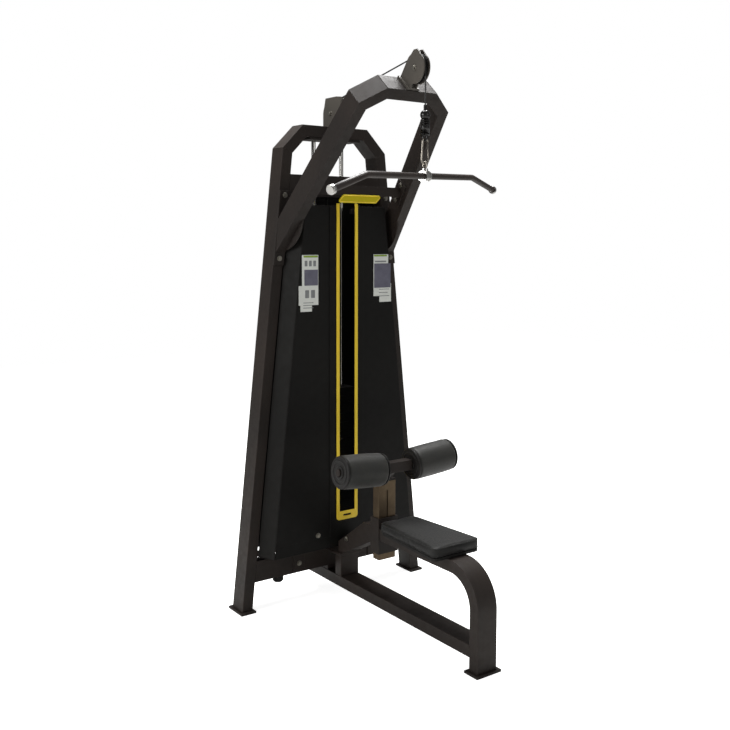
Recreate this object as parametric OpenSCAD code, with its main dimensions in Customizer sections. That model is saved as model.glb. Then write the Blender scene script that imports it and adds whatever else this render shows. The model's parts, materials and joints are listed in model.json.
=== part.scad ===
// Lat pulldown machine: octagonal tower and boom of rectangular tube, selectorised
// weight stack, cable over two pulleys, lat bar, knee rollers and a fixed seat.
// Millimetres. X is across the machine, the user sits on the -Y side, Z is up.
// Origin: floor level, at the middle of the footprint. Inside the modules y is
// counted from the front faces of the tower legs, and centred() moves it there.

/* [Frame tube] */
// narrow side of the rectangular frame tube
tube_w = 50; // [40:1:60]
// wide side of the rectangular frame tube
tube_d = 96; // [80:1:120]
// wall thickness of the frame tube
tube_wall = 3; // [2:0.5:5]

/* [Tower] */
// outer half width of the legs at floor level
tower_foot_x = 492; // [450:1:540]
// outer half width where the legs meet the shoulders
shoulder_x = 274; // [240:1:300]
// height of the leg and shoulder corner
shoulder_z = 2055; // [1950:5:2150]
// outer half width of the crown
crown_x = 172; // [150:1:200]
// height of the top of the crown
crown_z = 2160; // [2050:5:2250]
// underside of the upper cross beam
upper_beam_z = 1845; // [1800:5:1900]
// underside of the lower cross beam
lower_beam_z = 133; // [120:1:200]
// height of the stub plates on the lower cross beam
stub_h = 90; // [60:1:95]
// thickness of the stub plates
stub_t = 6; // [4:1:10]
// half distance between the centres of the two stub plates
stub_x = 205; // [150:5:250]
// width of a stub plate
stub_w = 58; // [40:1:80]

/* [Feet] */
// thickness of the foot plates
foot_t = 10; // [6:1:16]
// overhang of a tower foot plate beyond the leg, across
foot_over_x = 11; // [5:1:30]
// overhang of a tower foot plate beyond the leg, front and back
foot_over_y = 16; // [5:1:40]
// overhang of the front foot plate beyond the front leg
front_foot_over = 14; // [5:1:30]

/* [Base and seat frame] */
// underside of the base beam
base_z = 62; // [40:1:100]
// rear end of the base beam behind the leg front faces
base_rear_y = 190; // [120:5:250]
// thickness of the base beam end cap
end_cap_t = 4; // [2:1:8]
// distance from the leg front faces to the front of the front leg
front_leg_y = 1062; // [950:5:1200]
// inner bend radius of the front leg
leg_bend_r = 120; // [80:5:200]
// height of the top of the under-seat beam
seat_beam_z = 413; // [380:1:450]
// distance from the leg front faces to the rear face of the post
post_y = 66; // [50:1:120]
// height of the underside of the post head plate
post_head_z = 213; // [180:1:220]
// thickness of the post head plate
post_head_t = 12; // [8:1:20]
// half width of the post head plate
post_head_x = 62; // [50:1:80]
// overhang of the post head plate in front of the post
post_head_over = 12; // [5:1:30]
// inset of the saddle from the edges of the beams it joins
saddle_in = 2; // [1:1:10]
// drop of the strut end below the under-seat beam
strut_drop = 20; // [5:1:60]
// height of the strut heel above the post head plate
strut_heel = 50; // [30:1:60]
// gap between the strut and the strip of the stack's shroud
strut_gap = 2; // [0.5:0.5:6]
// length of the flat top of the strut behind the sleeve
strut_flat = 60; // [20:1:100]

/* [Boom] */
// angle of the boom above the horizontal
boom_tilt = 49.4; // [40:0.1:60]
// height at which the boom centre plane meets the leg front faces
boom_z = 1658; // [1600:1:1750]
// length along the boom up to its shoulders
boom_leg_s = 745; // [650:5:850]
// length along the boom up to its crown
boom_top_s = 827; // [750:1:900]
// outer half width of the boom at its root
boom_root_x = 315.4; // [280:0.1:340]
// outer half width of the boom at its shoulders
boom_shoulder_x = 229.3; // [200:0.1:260]
// outer half width of the boom crown
boom_crown_x = 124.2; // [100:0.1:150]
// thickness of the plates that carry the boom
mount_t = 10; // [6:1:16]
// lower end of the boom mount plates
mount_z0 = 1540; // [1500:5:1580]
// upper end of the boom mount plates
mount_z1 = 1868; // [1800:1:1900]
// height of the lower mount bolts
mount_bolt_z0 = 1570; // [1550:5:1590]
// height of the upper mount bolts
mount_bolt_z1 = 1847; // [1800:1:1860]
// side of the square cross tube between the boom legs
cross_tube_w = 40; // [30:1:60]
// underside of the boom cross tube
cross_tube_z = 1848; // [1800:1:1880]
// distance along the boom of the lower end of the gusset webs
web_s0 = -30; // [-40:1:0]
// distance along the boom of the upper end of the gusset webs
web_s1 = 150; // [120:1:200]
// depth of the gusset webs' bulge under the boom legs
web_drop = 31; // [12:1:40]
// thickness of the gusset webs
web_t = 8; // [5:1:12]
// thickness of the end flanges of the boom cross tube
flange_t = 8; // [5:1:12]
// gap between the cross tube's corners and the washers of its flange bolts
flange_bolt_gap = 2; // [1:0.5:6]
// rim of the end flanges outside the washers
flange_rim = 1; // [1:0.5:6]
// half width of the end flanges
flange_n = 34; // [30:1:40]
// front face of the boom cross tube
cross_tube_y = -190; // [-220:1:-160]

/* [Name plate] */
// length of the bare name plate
plate_len = 218; // [150:1:260]
// height of the bare name plate
plate_h = 36; // [30:1:60]
// corner radius of the name plate
plate_r = 9; // [2:1:12]
// lean of the two ends of the name plate, in degrees
plate_lean = 45; // [0:1:50]
// thickness of the name plate
plate_t = 6; // [2:0.5:10]
// overlap of the name plate on the cross tube
plate_lap = 2; // [1:1:20]

/* [Cable] */
// radius of the cable
cable_r = 3; // [2:0.25:4]
// radius at which the cable centre runs round a pulley
cable_bend_r = 51; // [40:1:70]
// reach of the front pulley axle in front of the boom's tip
front_axle_out = 64.8; // [50:0.1:90]
// height of the front pulley axle above the boom's tip
front_axle_up = 55.1; // [45:0.1:80]
// distance of the rear pulley axle behind the leg front faces
rear_axle_y = 21; // [0:1:60]
// height of the rear pulley axle
rear_axle_z = 2221; // [2215:1:2260]

/* [Pulleys] */
// outer radius of a pulley
pulley_r = 58; // [50:1:80]
// width of a pulley
pulley_w = 18; // [14:1:30]
// radius of the pulley axles
axle_r = 6; // [5:0.5:10]
// radial running clearance of a turning fit
run_gap = 0.05; // [0.02:0.01:0.1]
// gap between a pulley and its bracket cheek
cheek_gap = 2; // [1:0.5:4]
// thickness of a bracket cheek
cheek_t = 5; // [3:0.5:8]
// radius of the round part of a cheek
cheek_r = 62; // [55:1:80]
// radius of the cable guard bolts
guard_r = 5; // [3:0.5:8]
// thickness of the bracket base plates
bracket_base_t = 10; // [6:1:16]
// half width of the bracket base plates
bracket_base_x = 30; // [20:1:50]
// gap between a pulley and its cable guard bolts
guard_gap = 1.2; // [0.5:0.1:3]
// half width of the ear that holds the front guard bolt
ear_x = 11; // [8:1:20]
// height of the ear above the front guard bolt
ear_h = 9; // [6:1:15]
// overhang of the rear cheeks in front of the rear axle
cheek_front = 92; // [80:1:120]
// height of the top edge of the rear cheeks above the rear axle
cheek_top = 72; // [66:1:90]
// distance from the rear axle back to the upper rear corner of its cheeks
cheek_back = 42; // [30:1:55]
// inset of the rear bracket from the edges of the crown
bracket_in = 4; // [2:1:10]
// thickness of the base plate of the rear bracket
rear_base_t = 8; // [5:1:9]

/* [Guide rods] */
// radius of a guide rod
rod_r = 10; // [8:0.5:15]
// half distance between the guide rods
rod_x = 75; // [60:1:110]
// thickness of the rod head plate and of the stack base plate
rod_plate_t = 12; // [8:1:20]
// half width of the rod head plate
rod_head_x = 133; // [100:1:150]
// half width of the stack base plate
rod_base_x = 150; // [110:1:200]
// inset of the rod plates from the faces of the beams
rod_plate_in = 4; // [0:1:10]

/* [Weight stack] */
// number of plates that stay down
rest_count = 10; // [5:1:14]
// number of plates that hang on the selector stem
lift_count = 5; // [1:1:10]
// half width of a weight plate
weight_x = 115; // [100:1:150]
// depth of a weight plate
weight_d = 100; // [80:1:150]
// height of one plate with its boss
weight_pitch = 41.5; // [25:0.5:50]
// height of the boss that spaces two plates
boss_h = 1.5; // [0.5:0.5:4]
// height of the stack underside
stack_z = 300; // [260:1:340]
// thickness of the head plate of the stack
stack_head_t = 38; // [20:1:50]
// radial clearance of the plates on the guide rods
plate_gap = 1.2; // [0.5:0.1:3]
// radius of the selector stem
stem_r = 12; // [8:0.5:15]
// radius of the selector pin
pin_r = 5; // [4:0.5:8]
// radius of the selector pin knob
pin_knob_r = 17; // [12:1:25]
// half width of the cable clevis
clevis_x = 16; // [10:1:25]
// height of the cable clevis
clevis_h = 40; // [25:1:60]
// gap left between two moving groups of plates
rest_gap = 0.3; // [0.1:0.1:1]
// inset of a plate's boss from the front and back of the plate
boss_in = 8; // [2:1:20]
// radius of the cable ferrule on the clevis
ferrule_r = 8; // [5:0.5:12]
// length of the cable ferrule
ferrule_h = 10; // [5:1:25]
// length of the selector pin knob
pin_knob_len = 24; // [10:1:35]
// length of the neck between the plates and the pin knob
pin_neck = 22; // [5:1:30]
// running gap between the pin neck and the plates
pin_gap = 0.8; // [0.3:0.1:2]

/* [Shroud] */
// thickness of the shroud sheet
sheet_t = 3; // [1.5:0.5:5]
// distance of the shroud face in front of the leg front faces
shroud_y = 86; // [60:1:120]
// distance by which the side walls widen towards the legs
shroud_flare = 35; // [20:1:60]
// shadow gap between the shroud and the legs
shroud_gap = 4.2; // [2:0.1:10]
// height of the top edge of the shroud
shroud_z1 = 1803; // [1750:1:1840]
// height of the bottom edge of the shroud face
shroud_z0 = 302; // [280:1:350]
// height of the bottom edge of the recessed apron
apron_z = 248; // [240:1:280]
// lap of the apron behind the shroud face
apron_lap = 12; // [5:1:20]
// half width of the raised centre strip
strip_x = 90; // [70:1:120]
// projection of the raised centre strip
strip_t = 4; // [2:1:8]
// half width of the slot
slot_x = 42; // [30:1:50]
// bottom of the slot
slot_z0 = 410; // [380:1:450]
// outer half width of the slot trim
trim_x = 56.5; // [52:0.5:75]
// bottom of the slot trim
trim_z0 = 371; // [350:1:400]
// top of the slot trim
trim_z1 = 1814; // [1750:1:1840]
// projection of the slot trim
trim_t = 6; // [2:1:10]
// corner radius of the slot trim
trim_r = 14; // [5:1:25]
// half width of the notch in the lower bar of the trim
notch_x = 22; // [10:1:30]
// height of the notch in the lower bar of the trim
notch_h = 9; // [4:1:15]
// thickness of the placards
card_t = 1.5; // [0.5:0.5:3]
// height of the rails that carry the shroud
rail_h = 24; // [15:1:40]
// depth of the rails that carry the shroud
rail_d = 15; // [10:1:20]
// distance of the rear cover behind the leg front faces
cover_y = 141; // [125:1:200]
// height of the top of the rear cover
cover_z1 = 1900; // [1800:5:1950]
// height of the bottom of the rear cover
cover_z0 = 240; // [200:5:300]
// inset of the apron from the shroud walls
apron_in = 6; // [3:1:20]
// distance of the notch below the slot
notch_drop = 14; // [12:1:20]
// distance of the upper rail below the top edge of the shroud
rail_drop = 8; // [2:1:30]
// half distance between the brackets that hold the apron
bracket_x = 150; // [100:1:200]
// height of the top of the placards
card_z1 = 1586; // [1400:1:1700]
// height of the large placard above its strip
card_h = 135; // [60:1:200]
// height of the placard strip
strip_h = 86; // [40:1:150]
// height of the small placard under the strip
tag_h = 28; // [15:1:60]
// width of the placards
card_w = 83; // [50:1:100]

/* [Seat] */
// height of the top of the cushion
seat_z = 470; // [440:1:500]
// thickness of the seat board
board_t = 12; // [8:1:20]
// half width of the cushion at the rear
seat_rear_x = 93; // [80:1:150]
// half width of the cushion at the front
seat_front_x = 122; // [90:1:180]
// rear edge of the cushion
seat_rear_y = -474; // [-500:1:-430]
// front edge of the cushion
seat_front_y = -886; // [-950:1:-800]
// corner radius of the cushion
seat_r = 26; // [10:1:50]
// inset of the board under the cushion
board_in = 6; // [2:1:20]
// clearance of soft pieces from their neighbours
soft_gap = 0.3; // [0.1:0.1:1]

/* [Knee unit] */
// width of the adjusting column
col_w = 88; // [60:1:96]
// depth of the adjusting column
col_d = 45; // [40:1:60]
// front face of the adjusting column
col_y = -408; // [-440:1:-380]
// height of the bottom of the adjusting column
col_z0 = 270; // [250:1:300]
// length of the adjusting column
col_len = 345; // [300:1:380]
// half width of the groove in the column front
groove_x = 2.5; // [1.5:0.5:6]
// top of the groove in the column front
groove_z1 = 576; // [500:1:600]
// bottom of the groove in the column front
groove_z0 = 400; // [300:1:450]
// sliding clearance of the column in its sleeve
slide_gap = 0.4; // [0.2:0.1:1]
// wall thickness of the column sleeve
sleeve_t = 8; // [5:1:12]
// bottom of the column sleeve
sleeve_z0 = 300; // [280:1:340]
// top of the column sleeve
sleeve_z1 = 456; // [430:1:460]
// distance of the roller axis in front of the leg front faces
roller_y = -472; // [-500:1:-450]
// height of the roller axis at its inner end
roller_z = 691; // [650:1:750]
// inner end of the rollers
roller_x = 76; // [60:1:100]
// length of a roller
roller_len = 212; // [180:1:260]
// radius of a roller
roller_r = 70; // [60:1:90]
// upward tilt of the rollers
roller_tilt = 4.5; // [0:0.5:15]
// thickness of a roller end disc
disc_t = 8; // [4:1:12]
// radius of a roller end disc
disc_r = 68; // [50:1:70]
// radius of the roller shaft
shaft_r = 10; // [8:0.5:15]
// outer radius of the roller core tube
core_r = 16; // [14:0.5:25]
// side of the square knee cross tube
knee_tube_w = 44; // [30:1:60]
// half length of the knee cross tube
knee_tube_x = 68; // [50:1:72]
// half width of the neck under the cross tube
neck_x = 22; // [15:1:40]
// thickness of the plate on top of the column
neck_plate_t = 8; // [4:1:12]
// radius of the clamp knob
knob_r = 21; // [15:1:30]
// height of the clamp knob axis
knob_z = 395; // [330:1:430]
// rise of the cross tube over the roller axis
tube_rise = 3; // [0:1:10]
// height at which the neck leaves the column behind
neck_h = 40; // [25:1:60]
// inset of the neck from the faces of the column
neck_in = 4; // [2:1:10]
// edge radius of the rollers and their discs
edge_r = 5; // [2:0.5:10]
// wall of the end cap on a roller shaft
cap_wall = 5; // [3:0.5:10]
// projection of a roller shaft beyond the roller
shaft_over = 12; // [8:1:25]
// length of the clamp knob
knob_len = 22; // [12:1:40]
// distance from the sleeve to the clamp knob
knob_off = 12; // [5:1:25]
// radius of the finger hollows in the clamp knob
hollow_r = 7; // [4:0.5:10]

/* [Lat bar] */
// distance from the lower bow of the carabiner down to the bar axis
bar_drop = 65; // [60:1:100]
// radius of the covered bar
bar_r = 13; // [11:0.5:20]
// half length of the straight middle of the bar
bar_half = 462; // [350:1:550]
// length of each drooping end
bar_end = 250; // [150:1:300]
// droop of the ends
bar_droop = 13; // [5:0.5:40]
// bend radius of the bar
bar_bend_r = 90; // [60:5:150]
// yaw at which the bar hangs
bar_yaw = 25; // [0:1:45]
// tilt at which the bar hangs, right end up
bar_tilt = 2.4; // [0:0.1:5]
// radius of the end plugs
plug_r = 18; // [13:0.5:22]
// length of the end plugs
plug_len = 16; // [8:1:30]
// radius of the centre collar
collar_r = 19; // [16:0.5:25]
// half length of the centre collar
collar_x = 22; // [15:1:30]
// wall of the swivel boss around its stud
boss_wall = 6; // [3:0.5:12]
// height of the swivel boss above the collar
boss_rise = 11; // [8:1:30]
// depth of the stud's socket in the boss
socket_h = 10; // [6:1:20]
// width of the lips at the ends of the collar
lip_w = 6; // [3:1:10]
// height of the lips at the ends of the collar
lip_h = 3; // [1:0.5:6]
// step at the outer end of a plug
plug_step = 4; // [2:0.5:8]

/* [Cable end] */
// length of cable that hangs between the front pulley and the ball stop
drop_len = 168.5; // [100:0.5:250]
// radius of the ball stop
ball_r = 20.5; // [15:0.5:30]
// radius of the weighted sleeve under the ball
weight_sleeve_r = 19; // [12:0.5:25]
// distance from the ball centre down to the bottom of the weighted sleeve
sleeve_drop = 82; // [60:1:95]
// radius of the carabiner wire
wire_r = 4; // [3:0.5:6]
// bend radius of the upper bow of the carabiner
hook_top_r = 12; // [9:0.5:18]
// bend radius of the lower bow of the carabiner
hook_low_r = 17; // [12:0.5:25]
// distance from the ball centre down to the centre of the upper bow
hook_drop = 104; // [100:1:120]
// distance between the centres of the two bows
hook_len = 72; // [50:1:90]
// bend radius of the eyes
eye_r = 12; // [8:0.5:16]
// radius of the swivel stud
stud_r = 7; // [5:0.5:10]
// radius of the neck between the ball and the weighted sleeve
ball_neck_r = 12; // [8:0.5:18]
// lap of the ball over its neck
ball_lap = 2; // [1:0.5:5]

/* [Hardware] */
// radius of a bolt head
bolt_r = 9; // [6:0.5:14]
// height of a bolt head
bolt_h = 6; // [4:0.5:10]
// radius of a washer
washer_r = 12; // [8:0.5:18]
// thickness of a washer
washer_t = 2; // [1:0.5:4]
// wall of the spacer tubes on the pulley axles
spacer_wall = 4; // [2:0.5:8]
// half distance between the two lower shroud bolts
shroud_bolt_x = 153; // [120:1:200]
// height of the shroud bolts above the bottom edge of the shroud face
shroud_bolt_up = 16; // [10:1:40]
// distance of the strut bolt in front of the leg front faces
strut_bolt_y = 160; // [120:1:250]
// height of the strut bolt
strut_bolt_z = 302; // [280:1:330]
// radius of the rubber buffers
buffer_r = 24; // [15:1:32]
// half distance between the two buffers under the lower cross beam
buffer_x = 298; // [200:1:340]
// height of the buffers under the lower cross beam
buffer_h = 28; // [15:1:40]

/* [Hidden] */
frame_color = "#1d1a18";
steel_color = "#a8a9a8";
rubber_color = "#151515";
trim_color = "#e3c43a";
fine = 96;
round_fn = 48;
eps = 1;
big = 3000;
lean = (tower_foot_x - shoulder_x) / shoulder_z;
tube_skew_w = tube_w * sqrt(1 + lean * lean);
boom_lean = (boom_root_x - boom_shoulder_x) / boom_leg_s;
boom_tail_s = 140;
base_top = base_z + tube_w;
lower_beam_top = lower_beam_z + tube_d - 1;
upper_beam_top = upper_beam_z + tube_d - 1;
front_leg_back = tube_w - front_leg_y;
sleeve_front_y = col_y - sleeve_t;
sleeve_back_y = col_y + col_d + sleeve_t;
strut_y = -shroud_y - strip_t - strut_gap;
tube_corner_s = cross_tube_w / 2 * (sin(boom_tilt) + cos(boom_tilt));
flange_bolt_s = tube_corner_s + flange_bolt_gap + washer_r;
flange_s = flange_bolt_s + washer_r + flange_rim;
tube_mid_y = cross_tube_y + cross_tube_w / 2;
tube_mid_z = cross_tube_z + cross_tube_w / 2 - boom_z;
tube_s = tube_mid_z * sin(boom_tilt) - tube_mid_y * cos(boom_tilt);
tube_n = -tube_mid_z * cos(boom_tilt) - tube_mid_y * sin(boom_tilt);
bend_y = front_leg_back + leg_bend_r;
bend_z = seat_beam_z - tube_w - leg_bend_r;
stack_y = rear_axle_y + cable_bend_r;
col_z1 = col_z0 + col_len;
front_axle_y = -boom_top_s * cos(boom_tilt) - front_axle_out;
front_axle_z = boom_z + boom_top_s * sin(boom_tilt) + front_axle_up;
drop_y = front_axle_y - cable_bend_r;
cable_slope = atan((front_axle_z - rear_axle_z) / (rear_axle_y - front_axle_y));
groove_r = cable_bend_r - cable_r - 0.3;
groove_half = 3.6;
groove_flare = 7;
cheek_in = pulley_w / 2 + cheek_gap;
cheek_out = cheek_in + cheek_t;
bore_r = axle_r + run_gap;
cable_hole_x = 9;
cable_hole_y = 12;
stack_base_z = lower_beam_top;
rod_z0 = stack_base_z + rod_plate_t;
rod_z1 = crown_z - tube_w - rod_plate_t;
lift_z = stack_z + rest_count * weight_pitch + rest_gap;
head_z = lift_z + lift_count * weight_pitch;
clevis_z = head_z + stack_head_t;
pin_z = lift_z + (weight_pitch - boss_h) / 2;
stem_z0 = stack_z + 6;
stem_hole_r = stem_r + 1.5;
pin_hole_r = pin_r + 0.6;
cushion_z = seat_beam_z + board_t + soft_gap;
plate_z = cross_tube_z + plate_lap - plate_h;
plate_rise = plate_h - 2 * plate_r;
ring_top_gap = 0.3;
ball_z = front_axle_z - drop_len - ball_r;
weight_sleeve_z = ball_z - sleeve_drop;
hook_top_z = ball_z - hook_drop;
hook_low_z = hook_top_z - hook_len;
bar_z = hook_low_z - bar_drop;
low_eye_z = hook_low_z - hook_low_r + 2 * wire_r + ring_top_gap - eye_r;
top_eye_z = hook_top_z + hook_top_r - 2 * wire_r - ring_top_gap + eye_r;
collar_top = bar_z + collar_r + boss_rise;
cover_front_y = tube_w + 4;
apron_top = shroud_z0 + apron_lap;
middle_y = (front_leg_y + front_foot_over - base_rear_y) / 2;
gate_from = [hook_low_r, hook_low_z + wire_r];
gate_to = [hook_top_r, hook_top_z];
gate_lean = atan((gate_from[0] - gate_to[0]) / (gate_to[1] - gate_from[1]));
gate_r = wire_r - 1;
gate_gap = 0.5;
end_gap = 0.8;
cap_in = 2;

// ---- helpers ----

// half width of the outer and inner sides of the tower legs at a height
function leg_out(z) = tower_foot_x - lean * z;
function leg_in(z) = leg_out(z) - tube_skew_w;

// half width of the shroud face at a height
function face_x(z) = leg_in(z) - shroud_gap - shroud_flare;

// unit inward normal of the path from a to b
function inward(a, b) = [b[1] - a[1], a[0] - b[0]] / norm(b - a);

// inner corner of an open path at distance t; its ends are cut level
function inner_corner(p, i, t) =
    i == 0 ? p[0] + [t / inward(p[0], p[1])[0], 0]
    : i == len(p) - 1 ? p[i] + [t / inward(p[i - 1], p[i])[0], 0]
    : p[i] + t * (inward(p[i - 1], p[i]) + inward(p[i], p[i + 1]))
      / (1 + inward(p[i - 1], p[i]) * inward(p[i], p[i + 1]));

// four corners of piece i of a path between the distances t0 and t1
function piece(p, i, t0, t1) =
    [inner_corner(p, i, t0), inner_corner(p, i + 1, t0),
     inner_corner(p, i + 1, t1), inner_corner(p, i, t1)];

// the same piece, run past both of its ends
function long_piece(p, i, t0, t1) =
    let (q = piece(p, i, t0, t1), u = (p[i + 1] - p[i]) / norm(p[i + 1] - p[i]) * eps)
    [q[0] - u, q[1] + u, q[2] + u, q[3] - u];

// closed outline moved inwards by t
function inset(q, t) = [for (i = [0:len(q) - 1])
    let (a = q[(i + len(q) - 1) % len(q)], b = q[i], c = q[(i + 1) % len(q)],
         n1 = inward(a, b), n2 = inward(b, c))
    b + t * (n1 + n2) / (1 + n1 * n2)];

tower_path = [[-leg_out(foot_t), foot_t], [-shoulder_x, shoulder_z], [-crown_x, crown_z],
              [crown_x, crown_z], [shoulder_x, shoulder_z], [leg_out(foot_t), foot_t]];
boom_tail_x = boom_root_x + boom_lean * boom_tail_s;
boom_path = [[-boom_tail_x, -boom_tail_s], [-boom_shoulder_x, boom_leg_s],
             [-boom_crown_x, boom_top_s], [boom_crown_x, boom_top_s],
             [boom_shoulder_x, boom_leg_s], [boom_tail_x, -boom_tail_s]];

// places a sub-part so that the middle of the footprint is over the origin
module centred()
    translate([0, middle_y, 0])
        children();

// a block from one corner to the other
module block(x0, x1, y0, y1, z0, z1)
    translate([x0, y0, z0])
        cube([x1 - x0, y1 - y0, z1 - z0]);

// the same block on both sides of the centre plane
module both_sides() {
    children();
    mirror([1, 0, 0])
        children();
}

// an X-Z outline made solid from y0 to y1
module xz(y0, y1)
    translate([0, y1, 0])
        rotate([90, 0, 0])
            linear_extrude(y1 - y0)
                children();

// a Y-Z outline made solid from x0 to x1
module yz(x0, x1)
    translate([x0, 0, 0])
        rotate([90, 0, 90])
            linear_extrude(x1 - x0)
                children();

// a ring segment in the Y-Z plane
module yz_arc(r, a0, a1)
    rotate([90, 0, 90])
        rotate([0, 0, a0])
            rotate_extrude(angle = a1 - a0, $fn = fine)
                translate([r, 0])
                    children();

// unit direction at point i of a flat path, and the stretch its mitre needs
function way(p, i) = (p[i + 1] - p[i]) / norm(p[i + 1] - p[i]);
function mean_way(p, i) =
    let (a = way(p, max(i - 1, 0)), b = way(p, min(i, len(p) - 2))) (a + b) / norm(a + b);
function mitre(p, i) = 1 / (mean_way(p, i) * way(p, max(i - 1, 0)));

// a round bar of n sides swept along a path in the X-Y plane
module swept_bar(p, r, n)
    polyhedron(
        points = [for (i = [0:len(p) - 1], k = [0:n - 1])
            let (t = mean_way(p, i), c = r * cos(360 * k / n) * mitre(p, i))
            [p[i][0] - t[1] * c, p[i][1] + t[0] * c, r * sin(360 * k / n)]],
        faces = concat(
            [[for (k = [0:n - 1]) k], [for (k = [n - 1:-1:0]) (len(p) - 1) * n + k]],
            [for (i = [0:len(p) - 2], k = [0:n - 1])
                [i * n + (k + 1) % n, i * n + k, (i + 1) * n + k, (i + 1) * n + (k + 1) % n]]));

// points of an arc about a centre
function arc(c, r, a0, a1, steps) =
    [for (i = [0:steps]) let (a = a0 + (a1 - a0) * i / steps) c + r * [cos(a), sin(a)]];

// a ring segment in the X-Z plane
module xz_arc(r, a0, a1)
    rotate([90, 0, 0])
        rotate([0, 0, a0])
            rotate_extrude(angle = a1 - a0, $fn = fine)
                translate([r, 0])
                    children();

// a round bar along X, Y or Z from a point
module rod_along_x(x0, x1, y, z, r, fn = round_fn)
    translate([x0, y, z])
        rotate([0, 90, 0])
            cylinder(h = x1 - x0, r = r, $fn = fn);

module rod_along_y(x, y0, y1, z, r, fn = round_fn)
    translate([x, y1, z])
        rotate([90, 0, 0])
            cylinder(h = y1 - y0, r = r, $fn = fn);

module rod_along_z(x, y, z0, z1, r, fn = round_fn)
    translate([x, y, z0])
        cylinder(h = z1 - z0, r = r, $fn = fn);

// a bolt head on its washer, pointing along +Z
module bolt_head() {
    cylinder(h = washer_t, r = washer_r, $fn = round_fn);
    translate([0, 0, washer_t])
        cylinder(h = bolt_h, r = bolt_r, $fn = 6);
}

module bolt_front(x, y, z)
    translate([x, y, z])
        rotate([90, 0, 0])
            bolt_head();

// one straight tube of the tower arch
module tower_tube(i)
    centred() color(frame_color)
        difference() {
            xz(0, tube_d)
                polygon(piece(tower_path, i, 0, tube_w));
            xz(tube_wall, tube_d - tube_wall)
                polygon(long_piece(tower_path, i, tube_wall, tube_w - tube_wall));
        }

// places a child from the boom's own axes: x across, y along the boom, z down its face
module on_boom()
    translate([0, 0, boom_z])
        rotate([180 - boom_tilt, 0, 0])
            children();

// the outside of one straight tube of the boom arch
module boom_bar(i)
    on_boom()
        translate([0, 0, -tube_d / 2])
            linear_extrude(tube_d)
                polygon(piece(boom_path, i, 0, tube_w));

module boom_tube(i)
    difference() {
        boom_bar(i);
        on_boom()
            translate([0, 0, tube_wall - tube_d / 2])
                linear_extrude(tube_d - 2 * tube_wall)
                    polygon(long_piece(boom_path, i, tube_wall, tube_w - tube_wall));
    }

// one leg of the boom, cut off at the face of its mount plate
module boom_leg(i)
    centred() color(frame_color)
        difference() {
            boom_tube(i);
            block(-big, big, -mount_t, big, 0, big);
        }

// a level rectangular beam between the sloping legs
module level_beam(z0, z1)
    difference() {
        xz(0, tube_w)
            polygon([[-leg_in(z0), z0], [-leg_in(z1), z1], [leg_in(z1), z1],
                     [leg_in(z0), z0]]);
        block(-big, big, tube_wall, tube_w - tube_wall, z0 + tube_wall, z1 - tube_wall);
    }

// ---- tower ----

module left_upright()
    tower_tube(0);

module left_shoulder()
    tower_tube(1);

module crown_beam()
    difference() {
        tower_tube(2);
        centred()
            block(-cable_hole_x, cable_hole_x, stack_y - cable_hole_y,
                  stack_y + cable_hole_y, crown_z - tube_w - eps, crown_z + eps);
    }

module right_shoulder()
    tower_tube(3);

module right_upright()
    tower_tube(4);

module upper_cross_beam()
    centred() color(frame_color)
        level_beam(upper_beam_z, upper_beam_top);

module lower_cross_beam()
    centred() color(frame_color) {
        level_beam(lower_beam_z, lower_beam_top);
        both_sides()
            block(stub_x - stub_w / 2, stub_x + stub_w / 2, -stub_t, 0,
                  lower_beam_z + stub_t, lower_beam_z + stub_h);
    }

module foot_plates()
    centred() color(frame_color) {
        both_sides()
            block(leg_in(0) - foot_over_x, tower_foot_x + foot_over_x, -foot_over_y,
                  tube_d + foot_over_y, 0, foot_t);
        block(-tube_d / 2 - front_foot_over, tube_d / 2 + front_foot_over,
              -front_leg_y - front_foot_over, front_leg_back + front_foot_over, 0, foot_t);
    }

// ---- base and seat frame ----

module base_beam()
    centred() color(frame_color)
        difference() {
            block(-tube_d / 2, tube_d / 2, front_leg_back, base_rear_y, base_z, base_top);
            block(tube_wall - tube_d / 2, tube_d / 2 - tube_wall, front_leg_back - eps,
                  base_rear_y - end_cap_t, base_z + tube_wall, base_top - tube_wall);
        }

module base_saddle()
    centred() color(frame_color)
        block(saddle_in - tube_d / 2, tube_d / 2 - saddle_in, saddle_in, tube_w - saddle_in,
              base_top, lower_beam_z);

// the bent path of the front leg and the under-seat beam, for a given wall inset
module leg_run(t, over) {
    block(t - tube_d / 2, tube_d / 2 - t, t - front_leg_y, front_leg_back - t,
          foot_t - over, bend_z);
    block(t - tube_d / 2, tube_d / 2 - t, bend_y, sleeve_front_y + over,
          seat_beam_z - tube_w + t, seat_beam_z - t);
    translate([0, bend_y, bend_z])
        yz_arc(leg_bend_r + tube_w / 2, 90, 180)
            square([tube_w - 2 * t, tube_d - 2 * t], center = true);
}

module front_leg()
    centred() color(frame_color)
        difference() {
            leg_run(0, 0);
            leg_run(tube_wall, eps);
        }

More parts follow.
